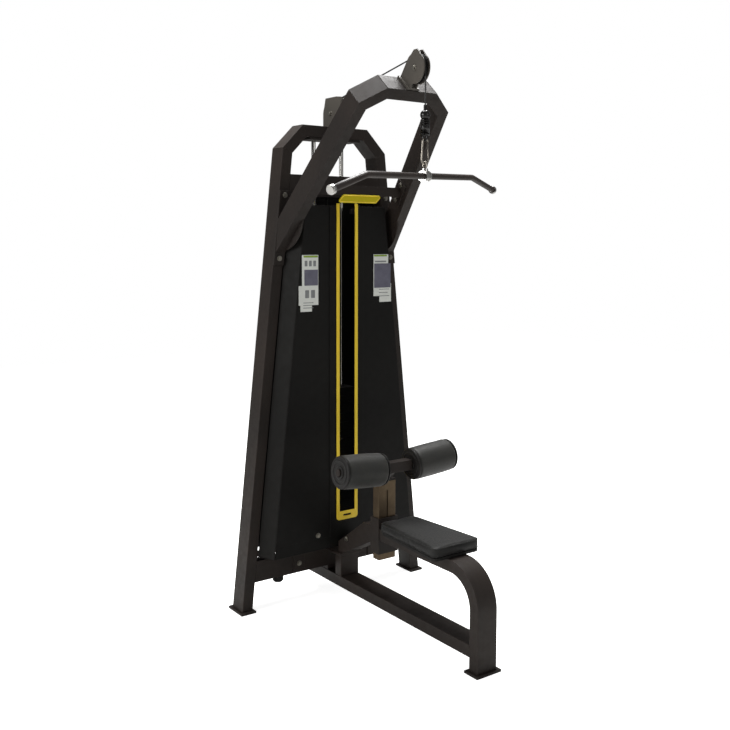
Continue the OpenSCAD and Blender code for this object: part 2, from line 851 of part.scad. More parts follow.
module seat_post() {
    front_y = -post_y - tube_w;
    head_top = post_head_z + post_head_t;
    strut = [[strut_y, head_top], [front_y - post_head_over, head_top],
             [sleeve_back_y, seat_beam_z - tube_w - strut_drop],
             [sleeve_back_y, seat_beam_z], [sleeve_back_y + strut_flat, seat_beam_z],
             [strut_y, head_top + strut_heel]];
    centred() color(frame_color) {
        difference() {
            block(-tube_d / 2, tube_d / 2, front_y, -post_y, base_top, post_head_z);
            block(tube_wall - tube_d / 2, tube_d / 2 - tube_wall, front_y + tube_wall,
                  -post_y - tube_wall, base_top - eps, post_head_z + eps);
        }
        block(-post_head_x, post_head_x, front_y - post_head_over, 0, post_head_z, head_top);
        difference() {
            yz(-tube_d / 2, tube_d / 2)
                polygon(strut);
            yz(tube_wall - tube_d / 2, tube_d / 2 - tube_wall)
                polygon(inset(strut, tube_wall));
        }
    }
}

module column_sleeve()
    centred() color(frame_color)
        difference() {
            block(-col_w / 2 - sleeve_t, col_w / 2 + sleeve_t, sleeve_front_y,
                  sleeve_back_y, sleeve_z0, sleeve_z1);
            block(-col_w / 2 - slide_gap, col_w / 2 + slide_gap, col_y - slide_gap,
                  col_y + col_d + slide_gap, sleeve_z0 - eps, sleeve_z1 + eps);
            rod_along_x(col_w / 2, big, col_y + col_d / 2, knob_z, axle_r + run_gap);
        }

// ---- boom ----

module left_boom_leg()
    boom_leg(0);

module left_boom_corner()
    centred() color(frame_color)
        boom_tube(1);

module boom_crown()
    centred() color(frame_color)
        boom_tube(2);

module right_boom_corner()
    centred() color(frame_color)
        boom_tube(3);

module right_boom_leg()
    boom_leg(4);

// outline of the web under a boom leg: an arc on the chord between its two ends
function web_outline() =
    let (half = (web_s1 - web_s0) / 2,
         r = (half * half + web_drop * web_drop) / (2 * web_drop),
         turn = asin(half / r))
    [for (a = [-1:0.125:1])
        [(web_s0 + web_s1) / 2 + r * sin(a * turn),
         tube_d / 2 + web_drop - r + r * cos(a * turn)]];

// mount plates, and webs flush with the inner sides of the boom legs
module boom_mounts()
    centred() color(frame_color)
        both_sides() {
            xz(-mount_t, 0)
                polygon([[leg_in(mount_z0), mount_z0], [leg_out(mount_z0), mount_z0],
                         [leg_out(mount_z1), mount_z1], [leg_in(mount_z1), mount_z1]]);
            on_boom()
                translate([boom_x(0, tube_w), 0, 0])
                    rotate([0, 0, atan(boom_lean)])
                        rotate([90, 0, 90])
                            linear_extrude(web_t)
                                polygon(web_outline());
        }

// distance of a boom leg's side from the centre plane, t inside its outer face
function boom_x(s, t) = boom_root_x - boom_lean * s - t * sqrt(1 + boom_lean * boom_lean);

// the tube ends half way through its flanges
module boom_cross_tube() {
    end_t = tube_w + flange_t / 2;
    centred() color(frame_color) {
        both_sides()
            on_boom()
                translate([0, 0, tube_n - flange_n])
                    linear_extrude(2 * flange_n)
                        polygon([[boom_x(tube_s - flange_s, tube_w), tube_s - flange_s],
                                 [boom_x(tube_s + flange_s, tube_w), tube_s + flange_s],
                                 [boom_x(tube_s + flange_s, tube_w + flange_t),
                                  tube_s + flange_s],
                                 [boom_x(tube_s - flange_s, tube_w + flange_t),
                                  tube_s - flange_s]]);
        difference() {
            block(-boom_root_x, boom_root_x, cross_tube_y, cross_tube_y + cross_tube_w,
                  cross_tube_z, cross_tube_z + cross_tube_w);
            block(-big, big, cross_tube_y + tube_wall,
                  cross_tube_y + cross_tube_w - tube_wall, cross_tube_z + tube_wall,
                  cross_tube_z + cross_tube_w - tube_wall);
            both_sides()
                on_boom()
                    translate([0, 0, -tube_d])
                        linear_extrude(2 * tube_d)
                            polygon([[boom_x(-boom_tail_s, end_t), -boom_tail_s],
                                     [big, -boom_tail_s], [big, boom_leg_s],
                                     [boom_x(boom_leg_s, end_t), boom_leg_s]]);
        }
    }
}

// rounded parallelogram: both ends lean the same way
module name_plate()
    centred() color(trim_color)
        xz(cross_tube_y - plate_t, cross_tube_y)
            hull()
                for (sx = [-1, 1], up = [0, 1])
                    translate([sx * (plate_len / 2 - plate_r)
                                   + (up - (1 + sx) / 2) * plate_rise * tan(plate_lean),
                               plate_z + plate_r + up * plate_rise])
                        circle(r = plate_r, $fn = 32);

// ---- pulleys and brackets ----

module pulley(y, z)
    centred() color(rubber_color)
        translate([0, y, z])
            rotate([0, 90, 0])
                rotate_extrude($fn = fine)
                    polygon([[bore_r, -pulley_w / 2], [pulley_r, -pulley_w / 2],
                             [pulley_r, -groove_flare], [groove_r, -groove_half],
                             [groove_r, groove_half], [pulley_r, groove_flare],
                             [pulley_r, pulley_w / 2], [bore_r, pulley_w / 2]]);

module front_pulley()
    pulley(front_axle_y, front_axle_z);

module rear_pulley()
    pulley(rear_axle_y, rear_axle_z);

// two cheeks with a given Y-Z outline, a round part and an axle hole
module cheeks(outline, y, z)
    both_sides()
        yz(cheek_in, cheek_out)
            difference() {
                union() {
                    polygon(outline);
                    translate([y, z])
                        circle(r = cheek_r, $fn = fine);
                }
                translate([y, z])
                    circle(r = bore_r, $fn = round_fn);
            }

module front_pulley_bracket() {
    base_s = boom_top_s + bracket_base_t;
    heel = [-base_s * cos(boom_tilt), boom_z + base_s * sin(boom_tilt)];
    down = (tube_d / 2 - bracket_in) * [-sin(boom_tilt), -cos(boom_tilt)];
    guard = [front_axle_y - guard_r, front_axle_z + pulley_r + guard_r + guard_gap];
    centred() color(frame_color) {
        difference() {
            on_boom()
                translate([-bracket_base_x, boom_top_s, bracket_in - tube_d / 2])
                    cube([2 * bracket_base_x, bracket_base_t, tube_d - 2 * bracket_in]);
            rod_along_x(-big, big, front_axle_y, front_axle_z, pulley_r + guard_gap, fine);
        }
        cheeks([heel - down, [front_axle_y + cheek_r * cos(30), front_axle_z
                + cheek_r * sin(30)], guard + [ear_x, ear_h], guard + [-ear_x, ear_h],
                [front_axle_y - cheek_r * cos(30), front_axle_z + cheek_r * sin(30)],
                [front_axle_y, front_axle_z - cheek_r / 2], heel + down],
               front_axle_y, front_axle_z);
        rod_along_x(-cheek_in, cheek_in, guard[0], guard[1], guard_r);
    }
}

module rear_pulley_bracket() {
    mid_z = rear_axle_z + cheek_top - 2 * guard_r;
    guards = [[stack_y - cable_bend_r + guard_r, rear_axle_z + pulley_r + guard_r + guard_gap],
              [rear_axle_y - cheek_front + 3 * guard_r, mid_z - guard_r],
              [rear_axle_y - cheek_front + 7 * guard_r, mid_z - 2 * guard_r]];
    centred() color(frame_color) {
        difference() {
            block(-bracket_base_x, bracket_base_x, bracket_in, stack_y - cable_hole_y,
                  crown_z, crown_z + rear_base_t);
            rod_along_x(-big, big, rear_axle_y, rear_axle_z, pulley_r + guard_gap, fine);
        }
        difference() {
            cheeks([[rear_axle_y + cheek_r, crown_z], [rear_axle_y + cheek_r, rear_axle_z],
                    [rear_axle_y + cheek_back, rear_axle_z + cheek_top],
                    [rear_axle_y - 48, rear_axle_z + cheek_top],
                    [rear_axle_y - cheek_front + guard_r, mid_z + guard_r],
                    [rear_axle_y - cheek_front, mid_z - 2 * guard_r],
                    [rear_axle_y - cheek_r, rear_axle_z], [bracket_in, crown_z]],
                   rear_axle_y, rear_axle_z);
            block(-big, big, -big, big, 0, crown_z);
        }
        for (q = guards)
            rod_along_x(-cheek_in, cheek_in, q[0], q[1], guard_r);
    }
}

// an axle with spacers between the cheeks and a head outside each of them
module axle(y, z) {
    rod_along_x(-cheek_out, cheek_out, y, z, axle_r);
    both_sides() {
        rod_along_x(pulley_w / 2 + rest_gap, cheek_in, y, z, axle_r + spacer_wall);
        translate([cheek_out, y, z])
            rotate([0, 90, 0])
                bolt_head();
    }
}

module pulley_axles()
    centred() color(steel_color) {
        axle(front_axle_y, front_axle_z);
        axle(rear_axle_y, rear_axle_z);
    }

// ---- hardware ----

module frame_bolts()
    centred() color(steel_color)
        both_sides() {
            for (z = [mount_bolt_z0, mount_bolt_z1])
                bolt_front(leg_out(z) - tube_skew_w / 2, -mount_t, z);
            for (q = [-1, 1])
                on_boom()
                    translate([boom_x(tube_s + q * flange_bolt_s, tube_w + flange_t),
                               tube_s + q * flange_bolt_s, tube_n])
                        rotate([0, -90, atan(boom_lean)])
                            bolt_head();
            bolt_front(stub_x, -stub_t, lower_beam_z + stub_h / 2);
            bolt_front(shroud_bolt_x, -shroud_y, shroud_z0 + shroud_bolt_up);
            translate([tube_d / 2, -strut_bolt_y, strut_bolt_z])
                rotate([0, 90, 0])
                    bolt_head();
        }

module rubber_bumpers()
    centred() color(rubber_color)
        both_sides() {
            rod_along_z(buffer_x, tube_w / 2, lower_beam_z - 0.8 * buffer_h, lower_beam_z,
                        buffer_r);
            rod_along_z(buffer_x, tube_w / 2, lower_beam_z - buffer_h,
                        lower_beam_z - 0.8 * buffer_h, 0.8 * buffer_r);
            difference() {
                rod_along_z(rod_x, stack_y, rod_z0, stack_z, buffer_r);
                rod_along_z(rod_x, stack_y, rod_z0 - eps, stack_z + eps, rod_r + soft_gap);
            }
        }

// ---- stack ----

module guide_rods()
    centred() color(steel_color)
        both_sides()
            rod_along_z(rod_x, stack_y, rod_z0, rod_z1, rod_r);

module rod_head_plate()
    centred() color(frame_color)
        difference() {
            block(-rod_head_x, rod_head_x, rod_plate_in, tube_d, rod_z1, crown_z - tube_w);
            rod_along_z(0, stack_y, rod_z1 - eps, crown_z, cable_hole_x);
        }

module stack_base_plate()
    centred() color(frame_color)
        block(-rod_base_x, rod_base_x, rod_plate_in, cover_y - sheet_t - rod_plate_in,
              stack_base_z, rod_z0);

// plates from a height, each with a spacing boss, bored for rods, stem and pin
module plates(z, count)
    difference() {
        for (i = [0:count - 1])
            translate([0, 0, z + i * weight_pitch]) {
                block(-weight_x, weight_x, stack_y - weight_d / 2, stack_y + weight_d / 2,
                      0, weight_pitch - boss_h);
                block(-weight_x / 2, weight_x / 2, stack_y - weight_d / 2 + boss_in,
                      stack_y + weight_d / 2 - boss_in, weight_pitch - boss_h,
                      weight_pitch);
            }
        both_sides()
            rod_along_z(rod_x, stack_y, z - eps, z + count * weight_pitch + eps,
                        rod_r + plate_gap);
        rod_along_z(0, stack_y, z - eps, z + count * weight_pitch + eps, stem_hole_r);
        for (i = [0:count - 1])
            rod_along_y(0, 0, stack_y, z + i * weight_pitch + (weight_pitch - boss_h) / 2,
                        pin_hole_r);
    }

module resting_plates()
    centred() color(rubber_color)
        plates(stack_z, rest_count);

module lifting_plates()
    centred() color(rubber_color)
        plates(lift_z, lift_count);

module selector_head()
    centred() color(steel_color) {
        difference() {
            block(-weight_x, weight_x, stack_y - weight_d / 2, stack_y + weight_d / 2,
                  head_z, clevis_z);
            both_sides()
                rod_along_z(rod_x, stack_y, head_z - eps, clevis_z + eps, rod_r + run_gap);
        }
        difference() {
            rod_along_z(0, stack_y, stem_z0, head_z, stem_r);
            for (i = [0:rest_count - 1])
                rod_along_y(0, 0, stack_y + stem_r + eps,
                            stack_z + i * weight_pitch + (weight_pitch - boss_h) / 2,
                            pin_hole_r);
            for (i = [0:lift_count - 1])
                rod_along_y(0, 0, stack_y + stem_r + eps,
                            lift_z + i * weight_pitch + (weight_pitch - boss_h) / 2,
                            pin_hole_r);
        }
        block(-clevis_x, clevis_x, stack_y - clevis_x, stack_y + clevis_x, clevis_z,
              clevis_z + clevis_h - ferrule_h);
        rod_along_z(0, stack_y, clevis_z + clevis_h - ferrule_h, clevis_z + clevis_h,
                    ferrule_r);
    }

module selector_pin()
    centred() color(rubber_color) {
        front = stack_y - weight_d / 2;
        rod_along_y(0, front - pin_neck, stack_y + stem_r, pin_z, pin_r);
        rod_along_y(0, front - pin_neck, front - pin_gap, pin_z, 2 * pin_r);
        rod_along_y(0, front - pin_neck - pin_knob_len, front - pin_neck, pin_z, pin_knob_r);
    }

// ---- cable ----

module fixed_cable()
    centred() color(rubber_color)
        rotate([90, 0, 90])
            swept_bar(concat(arc([front_axle_y, front_axle_z], cable_bend_r, 180,
                                 90 - cable_slope, 16),
                             arc([rear_axle_y, rear_axle_z], cable_bend_r,
                                 90 - cable_slope, 0, 12)), cable_r, 10);

module rear_cable_drop()
    centred() color(rubber_color)
        rod_along_z(0, stack_y, clevis_z + clevis_h, rear_axle_z - rest_gap, cable_r, 24);

module front_cable_drop()
    centred() color(rubber_color)
        rod_along_z(0, drop_y, ball_z + ball_r, front_axle_z - rest_gap, cable_r, 24);

// ---- shroud ----

// a slanting wall of the shroud or cover, given by its plan at floor level
module leaning_wall(plan, z0, z1)
    polyhedron(
        points = [for (z = [z0, z1], q = plan) [q[0] - lean * z, q[1], z]],
        faces = [[3, 2, 1, 0], [4, 5, 6, 7], [0, 1, 5, 4], [1, 2, 6, 5], [2, 3, 7, 6],
                 [3, 0, 4, 7]]);

module shroud_wall(side) {
    xb = leg_in(0) - shroud_gap;
    xf = xb - shroud_flare * (shroud_y - sheet_t) / shroud_y;
    y0 = sheet_t - shroud_y;
    centred() color(frame_color)
        mirror([side < 0 ? 1 : 0, 0, 0])
            leaning_wall([[xf - sheet_t, y0], [xf, y0], [xb, 0], [xb - sheet_t, 0]],
                         apron_z, shroud_z1);
}

module shroud_left_wall()
    shroud_wall(-1);

module shroud_right_wall()
    shroud_wall(1);

// X-Z outline of the slot
module slot_outline(z1)
    polygon([[-slot_x, slot_z0], [slot_x, slot_z0], [slot_x, z1], [-slot_x, z1]]);

module shroud_face()
    centred() color(frame_color) {
        xz(-shroud_y, sheet_t - shroud_y)
            difference() {
                polygon([[-face_x(shroud_z0), shroud_z0], [face_x(shroud_z0), shroud_z0],
                         [face_x(shroud_z1), shroud_z1], [-face_x(shroud_z1), shroud_z1]]);
                slot_outline(shroud_z1 + eps);
            }
        xz(-shroud_y - strip_t, -shroud_y)
            difference() {
                polygon([[-strip_x, shroud_z0], [strip_x, shroud_z0],
                         [strip_x, shroud_z1], [-strip_x, shroud_z1]]);
                slot_outline(shroud_z1 + eps);
            }
        xz(sheet_t - shroud_y, 2 * sheet_t - shroud_y)
            polygon([[apron_in - face_x(apron_z), apron_z],
                     [face_x(apron_z) - apron_in, apron_z],
                     [face_x(apron_top) - apron_in, apron_top],
                     [apron_in - face_x(apron_top), apron_top]]);
    }

module slot_trim()
    centred() color(trim_color)
        xz(-shroud_y - strip_t - trim_t, -shroud_y - strip_t)
            difference() {
                union() {
                    polygon([[-trim_x, trim_z0 + trim_r], [trim_x, trim_z0 + trim_r],
                             [trim_x, trim_z1], [-trim_x, trim_z1]]);
                    polygon([[trim_r - trim_x, trim_z0], [trim_x - trim_r, trim_z0],
                             [trim_x - trim_r, trim_z0 + trim_r],
                             [trim_r - trim_x, trim_z0 + trim_r]]);
                    for (s = [-1, 1])
                        translate([s * (trim_x - trim_r), trim_z0 + trim_r])
                            circle(r = trim_r, $fn = round_fn);
                }
                slot_outline(trim_z1 + eps);
                polygon([[-notch_x, slot_z0 - notch_drop - notch_h],
                         [notch_x, slot_z0 - notch_drop - notch_h],
                         [notch_x, slot_z0 - notch_drop], [-notch_x, slot_z0 - notch_drop]]);
            }

module card(x0, x1, z0, z1)
    block(x0, x1, -shroud_y - card_t, -shroud_y, z0, z1);

module placards() {
    z1 = card_z1 - card_h;
    z2 = z1 - strip_h;
    x0 = face_x(card_z1) - 2;
    tab = card_w / 5;
    centred() color("#d8d9d4") {
        card(-x0, card_w - x0, z1, card_z1);
        card(-x0 - tab, card_w - x0 - tab, z2, z1);
        card(-x0 - tab / 2, card_w - x0 - 2 * tab, z2 - tag_h, z2);
        card(card_w - x0 - tab, card_w - x0, z2, z1);
        card(x0 - card_w, x0, z1, card_z1);
        card(x0 - card_w + tab, x0 + tab, z2 + tag_h, z1);
        card(x0 - card_w, x0 - card_w + tab, z2 + tag_h, z1);
        card(x0 - card_w + 2 * tab, x0 + tab, z2, z2 + tag_h);
    }
}

module shroud_rails()
    centred() color(frame_color)
        both_sides() {
            top = shroud_z1 - rail_drop;
            in = rod_x + rod_r;
            xz(0, rail_d)
                polygon([[in, top - rail_h], [leg_in(top - rail_h), top - rail_h],
                         [leg_in(top), top], [in, top]]);
            xz(0, rail_d)
                polygon([[0, apron_z], [leg_in(apron_z), apron_z],
                         [leg_in(apron_z + rail_h), apron_z + rail_h], [0, apron_z + rail_h]]);
            block(bracket_x, bracket_x + 2 * sheet_t, 2 * sheet_t - shroud_y, 0, apron_z,
                  apron_z + rail_h);
        }

// X-Z outline of the rear cover with its sides moved in by t
module cover_outline(t, over)
    polygon([[-leg_in(cover_z0 - over) + t, cover_z0 - over],
             [leg_in(cover_z0 - over) - t, cover_z0 - over],
             [leg_in(cover_z1 + over) - t, cover_z1 + over],
             [-leg_in(cover_z1 + over) + t, cover_z1 + over]]);

module rear_cover()
    centred() color(frame_color)
        difference() {
            xz(cover_front_y, cover_y)
                cover_outline(0, 0);
            xz(cover_front_y - eps, cover_y - sheet_t)
                cover_outline(sheet_t, eps);
        }

// ---- seat ----

// plan of the seat, moved inwards by t
module seat_plan(t)
    hull()
        for (s = [-1, 1]) {
            translate([s * (seat_rear_x - seat_r), seat_rear_y - seat_r])
                circle(r = seat_r - t, $fn = 32);
            translate([s * (seat_front_x - seat_r), seat_front_y + seat_r])
                circle(r = seat_r - t, $fn = 32);
        }

module seat_board()
    centred() color(rubber_color)
        translate([0, 0, seat_beam_z])
            linear_extrude(board_t)
                seat_plan(board_in);

module seat_cushion()
    centred() color("#4a4a46")
        translate([0, 0, cushion_z])
            linear_extrude(seat_z - cushion_z)
                seat_plan(0);

// ---- knee unit ----

module knee_column()
    centred() color(steel_color)
        difference() {
            block(-col_w / 2, col_w / 2, col_y, col_y + col_d, col_z0, col_z1);
            block(tube_wall - col_w / 2, col_w / 2 - tube_wall, col_y + tube_wall,
                  col_y + col_d - tube_wall, col_z0 - eps, col_z1 + eps);
            block(-groove_x, groove_x, col_y - eps, col_y + tube_wall + eps,
                  groove_z0, groove_z1);
        }

// places a child on the tilted axis of one roller, its inner end at the local origin
module on_roller(side)
    mirror([side < 0 ? 1 : 0, 0, 0])
        translate([roller_x, roller_y, roller_z])
            rotate([0, 90 - roller_tilt, 0])
                children();

module knee_head() {
    tube_top = roller_z + knee_tube_w / 2 + tube_rise;
    tube_low = tube_top - knee_tube_w;
    tube_back = roller_y + knee_tube_w / 2;
    back_y = col_y + col_d - neck_in;
    foot_z = col_z1 + neck_plate_t;
    centred() color(frame_color) {
        block(-col_w / 2, col_w / 2, col_y, col_y + col_d, col_z1, foot_z);
        yz(-neck_x, neck_x)
            polygon([[col_y + neck_in, foot_z], [back_y, foot_z], [back_y, col_z1 + neck_h],
                     [tube_back, tube_top - neck_in], [tube_back, tube_low]]);
        block(-knee_tube_x, knee_tube_x, roller_y - knee_tube_w / 2, tube_back, tube_low,
              tube_top);
        for (side = [-1, 1])
            on_roller(side) {
                translate([0, 0, -shaft_over])
                    cylinder(h = roller_len + 2 * shaft_over, r = shaft_r, $fn = round_fn);
                translate([0, 0, roller_len + end_gap])
                    cylinder(h = shaft_over - cap_in - end_gap, r = shaft_r + cap_wall,
                             $fn = round_fn);
            }
    }
}

module roller_core(side) {
    far = roller_len;
    rim = disc_r - edge_r / 2;
    centred() color(rubber_color)
        on_roller(side)
            rotate_extrude($fn = fine)
                polygon([[shaft_r + run_gap, 0], [rim, 0], [disc_r, edge_r / 2],
                         [disc_r, disc_t], [core_r, disc_t], [core_r, far - disc_t],
                         [disc_r, far - disc_t], [disc_r, far - edge_r / 2], [rim, far],
                         [shaft_r + run_gap, far]]);
}

module left_roller_core()
    roller_core(-1);

module right_roller_core()
    roller_core(1);

module roller_foam(side) {
    a = disc_t + soft_gap;
    b = roller_len - disc_t - soft_gap;
    centred() color("#3a3a37")
        on_roller(side)
            rotate_extrude($fn = 72)
                polygon([[core_r + soft_gap, a], [roller_r - edge_r, a],
                         [roller_r - edge_r / 4, a + edge_r / 3], [roller_r, a + edge_r],
                         [roller_r, b - edge_r], [roller_r - edge_r / 4, b - edge_r / 3],
                         [roller_r - edge_r, b], [core_r + soft_gap, b]]);
}

module left_roller_foam()
    roller_foam(-1);

module right_roller_foam()
    roller_foam(1);

module clamp_knob()
    centred() color(rubber_color) {
        x0 = col_w / 2 + sleeve_t;
        x1 = x0 + knob_off;
        y = col_y + col_d / 2;
        rod_along_x(col_w / 2 + rest_gap, x1, y, knob_z, axle_r);
        rod_along_x(x0 + end_gap, x1, y, knob_z, axle_r + spacer_wall);
        difference() {
            rod_along_x(x1, x1 + knob_len, y, knob_z, knob_r);
            for (a = [0:60:300])
                translate([x1 - eps, y, knob_z])
                    rotate([a, 0, 0])
                        translate([0, knob_r + hollow_r / 2, 0])
                            rod_along_x(0, knob_len + 2 * eps, 0, 0, hollow_r, 24);
        }
    }

// ---- cable end and bar ----

module cable_stop()
    centred() color(rubber_color)
        translate([0, drop_y, 0]) {
            translate([0, 0, ball_z])
                sphere(r = ball_r, $fn = 64);
            rod_along_z(0, 0, weight_sleeve_z, ball_z - ball_r + ball_lap, weight_sleeve_r);
            rod_along_z(0, 0, ball_z - ball_r + ball_lap, ball_z, ball_neck_r);
            translate([0, 0, top_eye_z])
                yz_arc(eye_r, 0, 360)
                    circle(r = wire_r, $fn = 24);
        }

module carabiner()
    centred() color(steel_color)
        translate([0, drop_y, 0])
            rotate([90, 0, 0])
                swept_bar(concat([gate_to + [0, -wire_r / 2]],
                                 arc([0, hook_top_z], hook_top_r, 0, 180, 14),
                                 arc([0, hook_low_z], hook_low_r, 180, 360, 16),
                                 [gate_from]), wire_r, 16);

// a round-nosed bar that turns about the middle of its nose
module carabiner_gate() {
    span = norm(gate_to - gate_from) - wire_r / 2 - gate_r - 2 * gate_gap;
    nose = [for (a = [-90:10:0]) gate_r * [cos(a), sin(a)]];
    centred() color(steel_color)
        translate([gate_from[0], drop_y, gate_from[1] + gate_r + gate_gap])
            rotate([0, -gate_lean, 0])
                rotate_extrude($fn = 32)
                    polygon(concat([[0, span]], nose, [[gate_r, span]]));
}

module swivel_eye()
    centred() color(steel_color)
        translate([0, drop_y, 0]) {
            translate([0, 0, low_eye_z])
                yz_arc(eye_r, 0, 360)
                    circle(r = wire_r, $fn = 24);
            rod_along_z(0, 0, collar_top - socket_h + end_gap, low_eye_z - eye_r, stud_r);
        }

// places a child in the axes of the bar: x along it
module on_bar()
    translate([0, drop_y, bar_z])
        rotate([0, -bar_tilt, bar_yaw])
            children();

// places a child on the drooping end, x running outwards from the bend
module on_end(side)
    mirror([side < 0 ? 1 : 0, 0, 0])
        translate([bar_half, 0, 0])
            rotate([0, bar_droop, 0])
                children();

// right half of the bar axis, from the straight part outwards
function bar_side() =
    let (cut = bar_bend_r * tan(bar_droop / 2))
    concat(arc([bar_half - cut, -bar_bend_r], bar_bend_r, 90, 90 - bar_droop, 5),
           [[bar_half + (bar_end - plug_len) * cos(bar_droop),
             -(bar_end - plug_len) * sin(bar_droop)]]);

module lat_bar() {
    right = bar_side();
    left = [for (i = [len(right) - 1:-1:0]) [-right[i][0], right[i][1]]];
    centred() color(rubber_color)
        on_bar()
            rotate([90, 0, 0])
                swept_bar(concat(left, right), bar_r, 32);
}

module bar_fittings()
    centred() color(steel_color) {
        difference() {
            union() {
                on_bar() {
                    rod_along_x(-collar_x, collar_x, 0, 0, collar_r);
                    both_sides()
                        rod_along_x(collar_x - lip_w, collar_x, 0, 0, collar_r + lip_h);
                }
                rod_along_z(0, drop_y, bar_z, collar_top, stud_r + boss_wall);
            }
            on_bar()
                rod_along_x(-big, big, 0, 0, bar_r);
            rod_along_z(0, drop_y, collar_top - socket_h, collar_top + eps, stud_r + run_gap);
        }
        on_bar()
            for (side = [-1, 1])
                on_end(side) {
                    rod_along_x(bar_end - plug_len, bar_end - plug_step, 0, 0, plug_r);
                    rod_along_x(bar_end - plug_step, bar_end, 0, 0, plug_r - plug_step);
                }
    }

// ---- assembly ----

left_upright();
right_upright();
left_shoulder();
right_shoulder();
crown_beam();
upper_cross_beam();
lower_cross_beam();
base_beam();
base_saddle();
front_leg();
seat_post();
column_sleeve();
foot_plates();
left_boom_leg();
right_boom_leg();
left_boom_corner();
right_boom_corner();
boom_crown();
boom_mounts();
boom_cross_tube();
name_plate();
frame_bolts();
front_pulley_bracket();
rear_pulley_bracket();
pulley_axles();
guide_rods();
rod_head_plate();
stack_base_plate();
rubber_bumpers();
shroud_face();
shroud_left_wall();
shroud_right_wall();
shroud_rails();
slot_trim();
placards();
rear_cover();
resting_plates();
seat_board();
seat_cushion();
fixed_cable();
lifting_plates();
selector_head();
selector_pin();
rear_cable_drop();
front_pulley();
rear_pulley();
front_cable_drop();
cable_stop();
carabiner();
carabiner_gate();
swivel_eye();
lat_bar();
bar_fittings();
knee_column();
knee_head();
clamp_knob();
left_roller_core();
right_roller_core();
left_roller_foam();
right_roller_foam();
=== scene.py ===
"""The looks of a lat pulldown machine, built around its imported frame.

Lengths are in metres and angles in degrees, unless a name ends in _mm. The user stands on the
-Y side, +X is the user's right when they face the machine, and +Z is up.
"""

import json
import logging
import math
from dataclasses import dataclass
from enum import Enum
from typing import Callable, Dict, Iterable, List, Sequence, Tuple

import bmesh
import bpy
from mathutils import Matrix, Vector, noise
from mathutils.bvhtree import BVHTree


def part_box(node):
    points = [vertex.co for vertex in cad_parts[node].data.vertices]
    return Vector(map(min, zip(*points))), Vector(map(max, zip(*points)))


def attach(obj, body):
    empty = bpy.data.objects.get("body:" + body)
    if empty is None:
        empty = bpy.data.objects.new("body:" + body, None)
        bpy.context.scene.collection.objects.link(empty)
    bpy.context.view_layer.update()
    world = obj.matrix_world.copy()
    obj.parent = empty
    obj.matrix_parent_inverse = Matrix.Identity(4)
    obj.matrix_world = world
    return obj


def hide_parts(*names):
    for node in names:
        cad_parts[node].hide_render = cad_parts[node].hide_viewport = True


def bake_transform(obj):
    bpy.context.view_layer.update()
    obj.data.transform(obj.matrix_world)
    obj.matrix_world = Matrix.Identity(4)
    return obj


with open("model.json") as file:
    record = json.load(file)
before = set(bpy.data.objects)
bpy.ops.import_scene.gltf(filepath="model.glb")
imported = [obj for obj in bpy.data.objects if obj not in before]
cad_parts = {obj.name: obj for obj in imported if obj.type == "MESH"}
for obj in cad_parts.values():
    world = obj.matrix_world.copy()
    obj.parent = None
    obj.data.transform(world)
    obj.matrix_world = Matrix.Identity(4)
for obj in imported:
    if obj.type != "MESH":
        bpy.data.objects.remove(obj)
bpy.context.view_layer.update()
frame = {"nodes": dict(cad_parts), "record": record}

LOG = logging.getLogger("scene")
MM = 0.001

Profile = Sequence[Tuple[float, float]]


# ---- small helpers ------------------------------------------------------------------------------


def linear(hex_code: str) -> Tuple[float, float, float, float]:
    """Turns an sRGB colour into the linear one that shaders take.

    Args:
        hex_code: six hex digits after a hash sign.

    Returns:
        Red, green, blue and an alpha of 1.
    """
    digits = hex_code.lstrip("#")
    channels = [int(digits[i : i + 2], 16) / 255 for i in (0, 2, 4)]
    linear_channels = [c / 12.92 if c <= 0.04045 else ((c + 0.055) / 1.055) ** 2.4 for c in channels]
    return (*linear_channels, 1.0)


def per_metre(size_mm: float) -> float:
    """Returns the texture scale at which one feature of a pattern is size_mm across."""
    return 1000.0 / size_mm


def joint(name: str) -> Dict:
    """Returns the record's row of one joint."""
    return next(j for j in frame["record"]["behaviour"]["joints"] if j["name"] == name)


def joint_place(name: str) -> Tuple[Vector, Vector]:
    """Returns the point and the unit axis of one hinge."""
    row = joint(name)
    return Vector(row["pos_m"]), Vector(row["axis"]).normalized()


# ---- materials ----------------------------------------------------------------------------------


